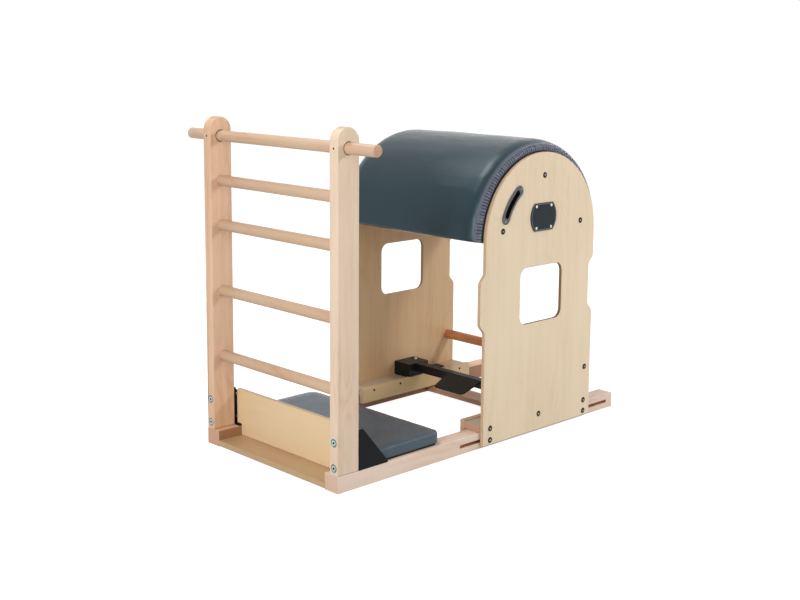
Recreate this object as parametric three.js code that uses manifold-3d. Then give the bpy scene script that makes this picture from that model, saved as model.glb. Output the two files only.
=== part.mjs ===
// Pilates ladder barrel: a padded barrel on a carriage that slides along a wooden ladder base.
// Millimetres, +Z up. While it is drawn, x runs from the ladder end to the rear, y from the near
// side to the far side, and z = 0 is the floor. The finished group has its origin at mid-length.

import * as THREE from "three";
import { mergeVertices } from "three/addons/utils/BufferGeometryUtils.js";
import Module from "manifold-3d";

const wasm = await Module();
wasm.setup();

// Fits shared by all pieces
const seat_gap = 0.3;
const bore_clearance = 0.3;
const overrun = 1;
const full_turn = 2 * Math.PI;
const half_turn = Math.PI;
const quarter_turn = Math.PI / 2;
const end_edge_share = 0.75;
const weld_distance = 1e-4;

// Facets
const round_sides = 20;
const bolt_sides = 12;
const hex_sides = 6;
const corner_steps = 2;
const arch_steps = 32;
const bend_steps = 6;
const pad_edge_steps = 4;

// Base rails
const base_width = 644;
const rail_length = 1306;
const rail_width = 60;
const rail_height = 52;
const rail_edge = 2;

// Ladder
const ladder_height = 1060;
const upright_thickness = 37;
const upright_depth = 82;
const upright_edge = 4;
const rung_diameter = 35;
const rung_socket_depth = 18;
const rung_edge = 2.5;
const top_rung_drop = 60;
const top_rung_overhang = 120;
const top_rung_bore_clearance = 0.8;
const rung_pitch = 70.7;
const rung_steps = [2, 4, 7, 10];
const set_screw_hole_diameter = 7;
const set_screw_hole_depth = 3;

// Corner brackets and their bolts
const bracket_reach = 116;
const bracket_height = 124;
const bracket_sheet = 5;
const bracket_top_flat = 16;
const bracket_toe = 6;
const ladder_bolt_heights = [22, 98];
const ladder_bolt_head_diameter = 25;
const ladder_bolt_head_height = 7;
const ladder_bolt_shank_diameter = 12;
const ladder_bolt_nut_width = 19;
const ladder_bolt_nut_height = 9;
const ladder_bolt_tip = 2.5;

// Boards of the base
const cross_board_thickness = 18;
const cross_board_lift = 3;
const front_board_margin = 2;
const rear_board_width = 80;
const rear_board_setback = 358;
const board_edge = 1;
const kick_board_setback = 9;
const kick_board_thickness = 15;
const kick_board_top = 172;

// Foot pad
const pad_setback = 5;
const pad_length = 329;
const pad_side_inset = 10;
const pad_board_thickness = 6.5;
const pad_board_inset = 5;
const pad_height = 38;
const pad_crown = 5;
const pad_corner = 36;
const pad_edge = 11;
const pad_tuck = 4;
const pad_notch_clearance = 1.3;
const pad_crown_shares = [0.25, 0.5, 0.75, 1];

// Side panels of the barrel
const panel_front = 602.5;
const panel_width = 550;
const panel_thickness = 14.5;
const panel_clearance = 0.8;
const panel_bottom = 9.5;
const panel_edge = 2.5;
const arch_centre_height = 669.5;
const waist_depth = 23;
const waist_drop = 92.5;
const waist_height = 200;
const waist_ease = 36;
const window_width = 210;
const window_height = 188;
const window_drop = 193.5;
const window_corner = 30;

// Handle slots and their bezels
const handle_inset = 76;
const handle_start_degrees = 128;
const handle_end_degrees = 159;
const handle_opening_margin_degrees = 3;
const handle_opening_width = 19;
const bezel_wall = 3.5;
const bezel_flange_width = 36;
const bezel_flange_height = 3;
const bezel_edge = 1;

// Badge plate
const badge_radius = 65;
const badge_half_height = 46;
const badge_thickness = 3;
const badge_edge = 0.75;
const badge_rise = 63;

// Drum and its cushion
const drum_arch_step = 3;
const drum_skin_thickness = 9;
const former_thickness = 18;
const former_rim = 34;
const drum_bolt_inset = 75.5;
const drum_bolt_degrees = [9.4, 88.8, 170.6];
const former_tab_width = 46;
const former_tab_reach = 24;
const cushion_thickness = 42;
const cushion_end_drop = 27;
const cushion_end_roll = 60;
const cushion_crown = 2;
const cushion_roll_share = 0.96;
const cushion_tip_roll = 12;
const cushion_tip_lift = 4;
const cushion_tip_inner_share = 0.3;
const cushion_tip_shares = [0, 0.35, 0.7, 1];
const cushion_half_shares = [0.5, 0.8, 0.86, 0.91, 0.955, 0.985, 1];
const cushion_inside_shares = [1, 0.8, 0, -0.8, -1];

// Panel bolts and guide bolts
const panel_bolt_head_diameter = 20;
const panel_bolt_head_height = 5;
const panel_bolt_head_proud = 1;
const panel_bolt_shank_diameter = 8;
const panel_bolt_grip = 24;
const bolt_edge = 0.6;
const bolt_socket_share = 0.5;
const bolt_socket_depth_share = 0.6;

// Rear dowel
const dowel_diameter = 35;
const dowel_setback = 33;
const dowel_height = 184;

// Saddles that ride on the rails
const saddle_glide_gap = 1;
const saddle_block_height = 23;
const saddle_overhang = 7.7;
const strip_thickness = 18;
const strip_height = 53;
const strip_above_block = 4;

// Guide slots in the rails
const guide_setback = 34;
const guide_slot_height = 11;
const guide_slot_depth = 20;
const guide_pin_diameter = 10;
const guide_pin_reach = 18;
const travel_forward = 120;
const travel_back = 150;

// Lock housings
const housing_setback = 235.5;
const housing_length = 98;
const housing_height = 46;
const housing_wall = 4;
const housing_overhang = 18;
const lock_foot_thickness = 4;
const lock_foot_tail = 114;
const lock_foot_width = 40;
const top_hole_diameter = 24;

// Cross bar, pedal and bar ends
const bar_size = 30;
const bar_wall = 2.5;
const bar_axis_rise = 29.7;
const bar_end_gap = 0.6;
const plug_length = 30;
const journal_diameter = 18;
const fork_drop = 9;
const fork_reach = 30;
const fork_nose_diameter = 8;
const fork_prong_thickness = 5;
const fork_clearance = 1.2;
const pedal_reach = 92;
const pedal_tilt_degrees = 21;
const pedal_root_width = 160;
const pedal_tip_width = 142;
const pedal_thickness = 5;
const pedal_corner = 16;
const pedal_edge = 1;

// Lock plungers
const shoe_diameter = 22;
const shoe_rise = 30;
const shoe_clearance = 0.4;
const stem_diameter = 12;
const collar_diameter = 26;
const collar_thickness = 4;
const stem_proud = 3;
const plunger_edge = 1;

// Sizes that follow from the ones above
const rail_outer = base_width / 2;
const rail_inner = rail_outer - rail_width;
const upright_inner = rail_outer - upright_thickness;
const upright_middle = rail_outer - upright_thickness / 2;
const rung_x = upright_depth / 2;
const top_rung_z = ladder_height - top_rung_drop;
const upright_foot = rail_height + seat_gap;
const guide_height = rail_height / 2;
const kick_board_start = upright_depth + kick_board_setback;
const kick_board_back = kick_board_start + kick_board_thickness;
const front_board_width = kick_board_back + front_board_margin;
const rear_board_start = rail_length - rear_board_setback;
const pad_start = kick_board_back + pad_setback;
const pad_end = pad_start + pad_length;
const pad_width = base_width - 2 * pad_side_inset;
const panel_inner = rail_outer + panel_clearance;
const panel_outer = panel_inner + panel_thickness;
const panel_back = panel_front + panel_width;
const panel_middle = panel_front + panel_width / 2;
const arch_radius = panel_width / 2;
const waist_high = arch_centre_height - waist_drop;
const waist_low = waist_high - waist_height;
const window_centre_height = arch_centre_height - window_drop;
const handle_radius = arch_radius - handle_inset;
const badge_centre_height = arch_centre_height + badge_rise;
const drum_bolt_radius = arch_radius - drum_bolt_inset;
const saddle_bottom = rail_height + saddle_glide_gap;
const saddle_top = saddle_bottom + saddle_block_height;
const saddle_block_inner = rail_inner - saddle_overhang;
const strip_outer = saddle_block_inner - seat_gap;
const strip_inner = strip_outer - strip_thickness;
const strip_top = saddle_top + strip_above_block;
const carriage_seat = panel_inner - seat_gap;
const drum_outer = arch_radius - drum_arch_step;
const drum_inner = drum_outer - drum_skin_thickness;
const former_outer = drum_inner - seat_gap;
const cushion_inner = drum_outer + seat_gap;
const housing_front = panel_front + housing_setback;
const housing_back = housing_front + housing_length;
const housing_inner = rail_inner - housing_overhang;
const housing_foot = saddle_top + seat_gap;
const housing_top = housing_foot + lock_foot_thickness + housing_height;
const bar_x = housing_front + housing_length / 2;
const bar_axis_height = housing_foot + lock_foot_thickness + bar_axis_rise;
const bar_end = housing_inner - bar_end_gap;
const plunger_x = bar_x + fork_reach;
const plunger_y = rail_outer - rail_width / 2;
const fork_z = bar_axis_height - fork_drop;

// Colours, roughness and metalness
const looks = {
  beech: [0xd9b796, 0.55, 0],
  plywood: [0xdcc29c, 0.5, 0],
  board: [0xdcb988, 0.55, 0],
  vinyl: [0x2c353b, 0.45, 0],
  pad_vinyl: [0x43464b, 0.5, 0],
  black_steel: [0x101113, 0.5, 0.3],
  black_board: [0x141517, 0.7, 0],
  chrome: [0xb8bcc2, 0.2, 1],
  plastic: [0x4a4d52, 0.5, 0],
  badge: [0x121a26, 0.35, 0.2],
  dowel: [0xc08a58, 0.55, 0],
};

const part = new THREE.Group();
const drawing = new THREE.Group();
drawing.position.set(-rail_length / 2, 0, 0);
part.add(drawing);

// Adds a finished geometry to the model under its node name.
function place(name, geometry, look) {
  const [color, roughness, metalness] = looks[look];
  const material = new THREE.MeshStandardMaterial({ color, roughness, metalness });
  const mesh = new THREE.Mesh(geometry, material);
  mesh.name = name;
  drawing.add(mesh);
}

// Turns a closed geometry into a manifold solid, so that it can be joined or cut.
function solid(geometry) {
  const bare = geometry.clone();
  bare.deleteAttribute("normal");
  bare.deleteAttribute("uv");
  const merged = mergeVertices(bare, weld_distance);
  const mesh = new wasm.Mesh({
    numProp: 3,
    vertProperties: new Float32Array(merged.attributes.position.array),
    triVerts: new Uint32Array(merged.index.array),
  });
  return new wasm.Manifold(mesh);
}

// Turns a manifold solid back into a geometry.
function surface(body) {
  const mesh = body.getMesh();
  const geometry = new THREE.BufferGeometry();
  geometry.setAttribute("position", new THREE.BufferAttribute(mesh.vertProperties, 3));
  geometry.setIndex(new THREE.BufferAttribute(mesh.triVerts, 1));
  geometry.computeVertexNormals();
  return geometry;
}

function join(first, ...others) {
  return surface(others.reduce((body, other) => body.add(solid(other)), solid(first)));
}

function cut(first, ...tools) {
  return surface(tools.reduce((body, tool) => body.subtract(solid(tool)), solid(first)));
}

// Axes of a prism: its outline's two directions, then the direction it is extruded in.
const prism_frames = {
  x: [new THREE.Vector3(0, 1, 0), new THREE.Vector3(0, 0, 1), new THREE.Vector3(1, 0, 0)],
  y: [new THREE.Vector3(1, 0, 0), new THREE.Vector3(0, 0, 1), new THREE.Vector3(0, -1, 0)],
  z: [new THREE.Vector3(1, 0, 0), new THREE.Vector3(0, 1, 0), new THREE.Vector3(0, 0, 1)],
};

// Extrudes an outline along an axis between two places, with its end edges eased.
function prism(axis, outline, from, to, edge = 0, edge_steps = 1) {
  const low = Math.min(from, to);
  const high = Math.max(from, to);
  const geometry = new THREE.ExtrudeGeometry(outline, {
    depth: high - low - 2 * edge,
    bevelEnabled: edge > 0,
    bevelThickness: edge,
    bevelSize: edge,
    bevelOffset: -edge,
    bevelSegments: edge_steps,
  });
  geometry.translate(0, 0, edge);
  const frame = prism_frames[axis];
  geometry.applyMatrix4(new THREE.Matrix4().makeBasis(...frame));
  const start = axis === "y" ? high : low;
  geometry.translate(...new THREE.Vector3().setComponent("xyz".indexOf(axis), start).toArray());
  return geometry;
}

// Points along a circular arc, with both ends.
function arc(x, y, radius, from, to, steps) {
  return Array.from({ length: steps + 1 }, (_, step) => {
    const angle = from + ((to - from) * step) / steps;
    return [x + radius * Math.cos(angle), y + radius * Math.sin(angle)];
  });
}

// An outline through a list of points.
function outline_of(points) {
  return new THREE.Shape(points.map(([across, up]) => new THREE.Vector2(across, up)));
}

function rounded_points(left, right, bottom, top, corner, steps) {
  return [
    ...arc(right - corner, bottom + corner, corner, -quarter_turn, 0, steps),
    ...arc(right - corner, top - corner, corner, 0, quarter_turn, steps),
    ...arc(left + corner, top - corner, corner, quarter_turn, half_turn, steps),
    ...arc(left + corner, bottom + corner, corner, half_turn, half_turn + quarter_turn, steps),
  ];
}

function circle(x, y, radius, sides) {
  return outline_of(arc(x, y, radius, 0, full_turn, sides).slice(1));
}

// A box with its four long edges and its end edges eased.
function board(axis, left, right, bottom, top, from, to, edge = board_edge) {
  const outline = outline_of(rounded_points(left, right, bottom, top, edge, corner_steps));
  return prism(axis, outline, from, to, edge * end_edge_share);
}

function block(axis, left, right, bottom, top, from, to) {
  const outline = outline_of([
    [left, bottom],
    [right, bottom],
    [right, top],
    [left, top],
  ]);
  return prism(axis, outline, from, to);
}

// A round bar or bore along an axis, centred at two coordinates across it.
function rod(axis, across, up, diameter, from, to, edge = 0, sides = round_sides) {
  return prism(axis, circle(across, up, diameter / 2, sides), from, to, edge);
}

// Joins rings of points into one closed body. The first and last rings are closed flat.
function loft(rings) {
  const count = rings[0].length;
  const positions = rings.flat().flatMap((point) => point.toArray());
  const index = [];
  for (let ring = 0; ring + 1 < rings.length; ring += 1) {
    for (let step = 0; step < count; step += 1) {
      const next = (step + 1) % count;
      const a = ring * count + step;
      const b = ring * count + next;
      index.push(a, b, b + count);
      index.push(a, b + count, a + count);
    }
  }
  const caps = [rings[0], rings[rings.length - 1]];
  caps.forEach((ring, end) => {
    const centre = ring.reduce((sum, point) => sum.add(point), new THREE.Vector3());
    positions.push(...centre.divideScalar(count).toArray());
    const middle = positions.length / 3 - 1;
    const first = end * (rings.length - 1) * count;
    for (let step = 0; step < count; step += 1) {
      const here = first + step;
      const next = first + ((step + 1) % count);
      index.push(...(end ? [here, next, middle] : [next, here, middle]));
    }
  });
  const geometry = new THREE.BufferGeometry();
  geometry.setAttribute("position", new THREE.Float32BufferAttribute(positions, 3));
  geometry.setIndex(index);
  return surface(solid(geometry));
}

// A socket-head bolt along +y: the head's outer face at y = 0, then the shank.
function bolt(head_diameter, head_height, shank_diameter, reach) {
  const head = head_diameter / 2;
  const shank = shank_diameter / 2;
  const profile = [
    [0, -reach],
    [shank, -reach],
    [shank, -head_height],
    [head, -head_height],
    [head, -bolt_edge],
    [head - bolt_edge, 0],
    [0, 0],
  ].map(([radius, y]) => new THREE.Vector2(radius, y));
  const turned = new THREE.LatheGeometry(profile, bolt_sides);
  const socket_depth = head_height * bolt_socket_depth_share;
  const socket = rod("y", 0, 0, head_diameter * bolt_socket_share, -socket_depth, overrun, 0, hex_sides);
  return cut(turned, socket);
}

// Stands a bolt that was made along +y on one side of the part.
function stand_bolt(geometry, side, x, y, z) {
  const turned = geometry.clone();
  if (side < 0) {
    turned.rotateZ(half_turn);
  }
  return turned.translate(x, side * y, z);
}

const panel_bolt_stand = panel_outer + panel_bolt_head_proud;
const panel_bolt_seat = panel_bolt_head_height - panel_bolt_head_proud + seat_gap;

// The counterbore and hole that a panel bolt takes in a panel.
function panel_bolt_cuts(side, x, z, shank_diameter) {
  const head_hole = panel_bolt_head_diameter + 2 * bore_clearance;
  const shank_hole = shank_diameter + 2 * bore_clearance;
  const floor = panel_outer - panel_bolt_seat;
  return [
    rod("y", x, z, head_hole, side * floor, side * (panel_outer + overrun), 0, bolt_sides),
    rod("y", x, z, shank_hole, side * (panel_inner - overrun), side * (floor + overrun), 0, bolt_sides),
  ];
}

function shank_bore(side, x, z, from, reach) {
  const diameter = panel_bolt_shank_diameter + 2 * bore_clearance;
  return rod("y", x, z, diameter, side * from, side * (from - reach), 0, bolt_sides);
}

const panel_bolt_reach = panel_bolt_head_proud + panel_thickness + panel_bolt_grip;
const bolt_hole_depth = panel_bolt_grip + overrun;
const saddle_bolt_height = saddle_bottom + saddle_block_height / 2;
const guide_places = [panel_front + guide_setback, panel_back - guide_setback];
const saddle_bolt_places = [guide_places[0], panel_middle, guide_places[1]];
const dowel_x = panel_back - dowel_setback;
const drum_bolt_places = drum_bolt_degrees.map((degrees) => {
  const angle = THREE.MathUtils.degToRad(degrees);
  const x = panel_middle + drum_bolt_radius * Math.cos(angle);
  return [x, arch_centre_height + drum_bolt_radius * Math.sin(angle)];
});

// Base rails, each with two blind slots for the guide bolts
function guide_slot(side, x) {
  const half_height = guide_slot_height / 2;
  const left = x - travel_forward;
  const right = x + travel_back;
  const outline = outline_of([
    ...arc(right, guide_height, half_height, -quarter_turn, quarter_turn, bend_steps),
    ...arc(left, guide_height, half_height, quarter_turn, half_turn + quarter_turn, bend_steps),
  ]);
  return prism("y", outline, side * (rail_outer - guide_slot_depth), side * (rail_outer + overrun));
}

function rail(side) {
  const left = Math.min(side * rail_inner, side * rail_outer);
  const bar = board("x", left, left + rail_width, 0, rail_height, 0, rail_length, rail_edge);
  return cut(bar, ...guide_places.map((x) => guide_slot(side, x)));
}

// Ladder uprights with a full-round top, rung sockets and two bolt bores
function upright(side) {
  const radius = upright_depth / 2;
  const outline = outline_of([
    [0, upright_foot],
    [upright_depth, upright_foot],
    ...arc(radius, ladder_height - radius, radius, 0, half_turn, arch_steps / 2),
  ]);
  const post = prism("y", outline, side * upright_inner, side * rail_outer, upright_edge, 2);
  const through = rung_diameter + 2 * top_rung_bore_clearance;
  const outside = rail_outer + overrun;
  const cuts = [rod("y", rung_x, top_rung_z, through, -outside, outside)];
  for (const z of rung_heights()) {
    const socket = rung_diameter + 2 * bore_clearance;
    const floor = upright_inner + rung_socket_depth;
    cuts.push(rod("y", rung_x, z, socket, side * (upright_inner - overrun), side * floor));
  }
  const screw_y = side * upright_middle;
  const screw_hole = set_screw_hole_diameter;
  cuts.push(rod("x", screw_y, top_rung_z, screw_hole, -overrun, set_screw_hole_depth, 0, bolt_sides));
  for (const height of ladder_bolt_heights) {
    const y = side * upright_middle;
    const z = rail_height + height;
    const head = ladder_bolt_head_diameter + 2 * bore_clearance;
    const shank = ladder_bolt_shank_diameter + 2 * bore_clearance;
    cuts.push(rod("x", y, z, head, -overrun, ladder_bolt_head_height + seat_gap, 0, bolt_sides));
    cuts.push(rod("x", y, z, shank, 0, upright_depth + overrun, 0, bolt_sides));
  }
  return cut(post, ...cuts);
}

function rung_heights() {
  return rung_steps.map((step) => top_rung_z - step * rung_pitch);
}

function add_rungs() {
  const grip_end = rail_outer + top_rung_overhang;
  place("top_rung", rod("y", rung_x, top_rung_z, rung_diameter, -grip_end, grip_end, rung_edge), "beech");
  const end = upright_inner + rung_socket_depth - seat_gap;
  rung_heights().forEach((z, number) => {
    place(`rung_${number + 2}`, rod("y", rung_x, z, rung_diameter, -end, end), "beech");
  });
}

// Corner brackets: a foot on the rail, a leaf behind the upright and an outer gusset
function bracket(side) {
  const start = upright_depth + seat_gap;
  const foot = rail_height + seat_gap;
  const end = upright_depth + bracket_reach;
  const top = rail_height + bracket_height;
  const gusset = outline_of([
    [start, foot],
    [end, foot],
    [end, foot + bracket_toe],
    [start + bracket_top_flat, top],
    [start, top],
  ]);
  const side_sheet = prism("y", gusset, side * (rail_outer - bracket_sheet), side * rail_outer);
  const foot_sheet = block("y", start, end, foot, foot + bracket_sheet, side * rail_inner, side * rail_outer);
  const leaf = block("y", start, start + bracket_sheet, foot, top, side * upright_inner, side * rail_outer);
  const bores = ladder_bolt_heights.map((height) => {
    const diameter = ladder_bolt_shank_diameter + 2 * bore_clearance;
    const z = rail_height + height;
    const leaf_back = start + bracket_sheet + overrun;
    return rod("x", side * upright_middle, z, diameter, upright_depth, leaf_back, 0, bolt_sides);
  });
  return cut(join(side_sheet, foot_sheet, leaf), ...bores);
}

// Ladder bolts with their nuts behind the bracket leaf
function ladder_bolt() {
  const grip = upright_depth + bracket_sheet + 2 * seat_gap;
  const reach = grip + ladder_bolt_nut_height + ladder_bolt_tip;
  const screw = bolt(ladder_bolt_head_diameter, ladder_bolt_head_height, ladder_bolt_shank_diameter, reach);
  const nut_end = -grip - ladder_bolt_nut_height;
  const nut = rod("y", 0, 0, ladder_bolt_nut_width, nut_end, -grip, 0, hex_sides);
  const whole = join(screw, nut);
  return whole.rotateZ(quarter_turn);
}

function add_ladder_bolts(side, label) {
  ladder_bolt_heights.forEach((height, number) => {
    const geometry = ladder_bolt().translate(0, side * upright_middle, rail_height + height);
    place(`ladder_bolt_${label}_${number + 1}`, geometry, "chrome");
  });
}

// Cross boards between the rails, and the kick board that stands on the front one
function cross_board(start, width) {
  const half = rail_inner - seat_gap;
  const top = cross_board_lift + cross_board_thickness;
  return board("y", start, start + width, cross_board_lift, top, -half, half);
}

function kick_board() {
  const low_half = rail_inner - seat_gap;
  const high_half = upright_inner - seat_gap;
  const foot = cross_board_lift + cross_board_thickness + seat_gap;
  const wing = rail_height + bracket_sheet + 2 * seat_gap;
  const outline = outline_of([
    [-low_half, foot],
    [low_half, foot],
    [low_half, wing],
    [high_half, wing],
    [high_half, kick_board_top],
    [-high_half, kick_board_top],
    [-high_half, wing],
    [-low_half, wing],
  ]);
  return prism("x", outline, kick_board_start, kick_board_back, board_edge);
}

// Foot pad: a board on the rails, notched at the brackets, and its cushion
function pad_board() {
  const half = pad_width / 2 - pad_board_inset;
  const neck = rail_inner - seat_gap;
  const shoulder = upright_depth + bracket_reach + pad_notch_clearance;
  const end = pad_end - pad_board_inset;
  const corner = pad_corner - pad_board_inset;
  const outline = outline_of([
    [pad_start, -neck],
    [shoulder, -neck],
    [shoulder, -half],
    ...arc(end - corner, corner - half, corner, -quarter_turn, 0, bend_steps),
    ...arc(end - corner, half - corner, corner, 0, quarter_turn, bend_steps),
    [shoulder, half],
    [shoulder, neck],
    [pad_start, neck],
  ]);
  const foot = rail_height + seat_gap;
  return prism("z", outline, foot, foot + pad_board_thickness);
}

// One level of the pad: its outline drawn in by an inset.
function pad_ring(inset, z) {
  const corner = Math.max(pad_corner - inset, pad_edge);
  const half = pad_width / 2 - inset;
  const points = rounded_points(pad_start + inset, pad_end - inset, -half, half, corner, bend_steps);
  return points.map(([x, y]) => new THREE.Vector3(x, y, z));
}

function pad_cushion() {
  const foot = rail_height + 2 * seat_gap + pad_board_thickness;
  const shoulder = foot + pad_height - pad_crown;
  const rings = [pad_ring(pad_tuck, foot), pad_ring(0, foot + pad_tuck)];
  for (let step = 0; step <= pad_edge_steps; step += 1) {
    const angle = (quarter_turn * step) / pad_edge_steps;
    const inset = pad_edge * (1 - Math.cos(angle));
    rings.push(pad_ring(inset, shoulder - pad_edge * (1 - Math.sin(angle))));
  }
  const crown_reach = (pad_end - pad_start) / 2 - 2 * pad_edge;
  for (const share of pad_crown_shares) {
    const rise = pad_crown * (1 - (1 - share) ** 2);
    rings.push(pad_ring(pad_edge + crown_reach * share, shoulder + rise));
  }
  return loft(rings);
}

// Side panels: arched top, waist bulging at the front and drawn in at the rear
function waist_points(x, from, to, shift) {
  const steps = Array.from({ length: bend_steps + 1 }, (_, step) => step / bend_steps);
  return steps.map((share) => {
    const ease = (1 - Math.cos(half_turn * share)) / 2;
    return [x + shift * ease, from + (to - from) * share];
  });
}

function panel_outline() {
  const low_end = waist_low + waist_ease;
  const high_start = waist_high - waist_ease;
  return outline_of([
    [panel_front, panel_bottom],
    [panel_back, panel_bottom],
    ...waist_points(panel_back, waist_low, low_end, -waist_depth),
    ...waist_points(panel_back - waist_depth, high_start, waist_high, waist_depth),
    ...arc(panel_middle, arch_centre_height, arch_radius, 0, half_turn, arch_steps),
    ...waist_points(panel_front, waist_high, high_start, -waist_depth),
    ...waist_points(panel_front - waist_depth, low_end, waist_low, waist_depth),
  ]);
}

function window_outline() {
  const left = panel_middle - window_width / 2;
  const bottom = window_centre_height - window_height / 2;
  const right = left + window_width;
  return outline_of(rounded_points(left, right, bottom, bottom + window_height, window_corner, bend_steps));
}

// A slot bent round the arch's centre, of a given width and drawn in at its ends by a margin.
function handle_outline(width, margin_degrees = handle_opening_margin_degrees) {
  const start = THREE.MathUtils.degToRad(handle_start_degrees + margin_degrees);
  const end = THREE.MathUtils.degToRad(handle_end_degrees - margin_degrees);
  const half = width / 2;
  const tip = (angle) => arc(panel_middle, arch_centre_height, handle_radius, angle, angle, 1)[0];
  const outer = arc(panel_middle, arch_centre_height, handle_radius + half, start, end, bend_steps);
  const inner = arc(panel_middle, arch_centre_height, handle_radius - half, end, start, bend_steps);
  return outline_of([
    ...outer,
    ...arc(...tip(end), half, end, end + half_turn, bend_steps).slice(1, -1),
    ...inner,
    ...arc(...tip(start), half, start + half_turn, start + full_turn, bend_steps).slice(1, -1),
  ]);
}

const handle_cut_width = handle_opening_width + 2 * (bezel_wall + bore_clearance);

function side_panel(side) {
  const outline = panel_outline();
  outline.holes.push(window_outline());
  const sheet = prism("y", outline, side * panel_inner, side * panel_outer, panel_edge);
  const inside = side * (panel_inner - overrun);
  const outside = side * (panel_outer + overrun);
  const cuts = [prism("y", handle_outline(handle_cut_width), inside, outside)];
  const bolts = [[dowel_x, dowel_height], ...drum_bolt_places];
  bolts.push(...saddle_bolt_places.map((x) => [x, saddle_bolt_height]));
  bolts.forEach(([x, z]) => cuts.push(...panel_bolt_cuts(side, x, z, panel_bolt_shank_diameter)));
  guide_places.forEach((x) => cuts.push(...panel_bolt_cuts(side, x, guide_height, guide_pin_diameter)));
  return cut(sheet, ...cuts);
}

function handle_bezel(side) {
  const flange_foot = panel_outer + seat_gap;
  const flange_top = flange_foot + bezel_flange_height;
  const flange_outline = handle_outline(bezel_flange_width, 0);
  const flange = prism("y", flange_outline, side * flange_foot, side * flange_top, bezel_edge);
  const sleeve_outline = handle_outline(handle_opening_width + 2 * bezel_wall);
  const sleeve = prism("y", sleeve_outline, side * panel_inner, side * (flange_foot + bezel_edge));
  const opening = handle_outline(handle_opening_width);
  const inside = side * (panel_inner - overrun);
  const hole = prism("y", opening, inside, side * (flange_top + overrun));
  return cut(join(flange, sleeve), hole);
}

// Badge plate: a disc with a flat top and bottom
function badge_plate() {
  const flat_angle = Math.asin(badge_half_height / badge_radius);
  const bow = (from, to) => arc(panel_middle, badge_centre_height, badge_radius, from, to, bend_steps);
  const outline = outline_of([
    ...bow(-flat_angle, flat_angle),
    ...bow(half_turn - flat_angle, half_turn + flat_angle),
  ]);
  const foot = panel_outer + seat_gap;
  return prism("y", outline, -foot, -(foot + badge_thickness), badge_edge);
}

// The upper half of a ring round the arch's centre.
function half_ring(inner, outer) {
  return outline_of([
    ...arc(panel_middle, arch_centre_height, outer, 0, half_turn, arch_steps),
    ...arc(panel_middle, arch_centre_height, inner, half_turn, 0, arch_steps),
  ]);
}

// Drum formers: a rim behind each panel, with a tab at each drum bolt
function drum_former(side) {
  const rim_inner = former_outer - former_rim;
  const rim = half_ring(rim_inner, former_outer);
  const outer_face = side * carriage_seat;
  const inner_face = side * (carriage_seat - former_thickness);
  const pieces = [prism("y", rim, inner_face, outer_face)];
  drum_bolt_degrees.forEach((degrees) => {
    const reach_in = drum_bolt_radius - former_tab_reach;
    const reach_out = rim_inner + former_rim / 2;
    const half = former_tab_width / 2;
    const tab = block("y", reach_in, reach_out, -half, half, inner_face, outer_face);
    tab.rotateY(-THREE.MathUtils.degToRad(degrees));
    tab.translate(panel_middle, 0, arch_centre_height);
    pieces.push(tab);
  });
  const far_down = arch_centre_height - drum_outer;
  const below = block("y", panel_front, panel_back, far_down, arch_centre_height, -panel_outer, panel_outer);
  const bores = drum_bolt_places.map(([x, z]) => shank_bore(side, x, z, panel_inner, bolt_hole_depth));
  return cut(join(...pieces), below, ...bores);
}

function drum_skin() {
  return prism("y", half_ring(drum_inner, drum_outer), -carriage_seat, carriage_seat);
}

// The barrel cushion's outer radius at a place along the barrel, drawn in at both ends.
function cushion_radius(y) {
  const crown = cushion_crown * (1 - (y / carriage_seat) ** 2);
  const roll_start = carriage_seat - cushion_end_roll;
  const into_roll = Math.max(0, Math.abs(y) - roll_start) / cushion_end_roll;
  const fall = 1 - Math.sqrt(1 - cushion_roll_share * into_roll ** 2);
  const whole_fall = 1 - Math.sqrt(1 - cushion_roll_share);
  return cushion_inner + cushion_thickness + crown - (cushion_end_drop * fall) / whole_fall;
}

// One slice of the barrel cushion at an angle round the drum, thinner at its lower tips.
function cushion_slice(angle, thinning) {
  const inner = cushion_inner + cushion_tip_roll * cushion_tip_inner_share * thinning;
  const outer_of = (y) => cushion_radius(y) - cushion_tip_roll * thinning;
  const end_middle = (inner + outer_of(carriage_seat)) / 2;
  const along = [...[...cushion_half_shares].reverse().map((share) => -share), 0, ...cushion_half_shares];
  const profile = along.map((share) => [share * carriage_seat, outer_of(share * carriage_seat)]);
  profile.push([carriage_seat, end_middle]);
  cushion_inside_shares.forEach((share) => profile.push([share * carriage_seat, inner]));
  profile.push([-carriage_seat, end_middle]);
  return profile.map(([y, radius]) => {
    const x = panel_middle + radius * Math.cos(angle);
    return new THREE.Vector3(x, y, arch_centre_height + radius * Math.sin(angle));
  });
}

function barrel_cushion() {
  const middle_radius = cushion_inner + cushion_thickness / 2;
  const start = cushion_tip_lift / middle_radius;
  const tip_turn = cushion_tip_roll / middle_radius;
  const tips = cushion_tip_shares.map((share) => {
    return [start + tip_turn * share, (1 - share) ** 2];
  });
  const slices = [...tips];
  for (let step = 1; step < arch_steps; step += 1) {
    slices.push([(half_turn * step) / arch_steps, 0]);
  }
  [...tips].reverse().forEach(([angle, thinning]) => slices.push([half_turn - angle, thinning]));
  return loft(slices.map(([angle, thinning]) => cushion_slice(angle, thinning)));
}

// Rear dowel, with a bolt bore in each end
function rear_dowel() {
  const bar = rod("y", dowel_x, dowel_height, dowel_diameter, -carriage_seat, carriage_seat);
  const bores = [-1, 1].map((side) => shank_bore(side, dowel_x, dowel_height, panel_inner, bolt_hole_depth));
  return cut(bar, ...bores);
}

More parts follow.
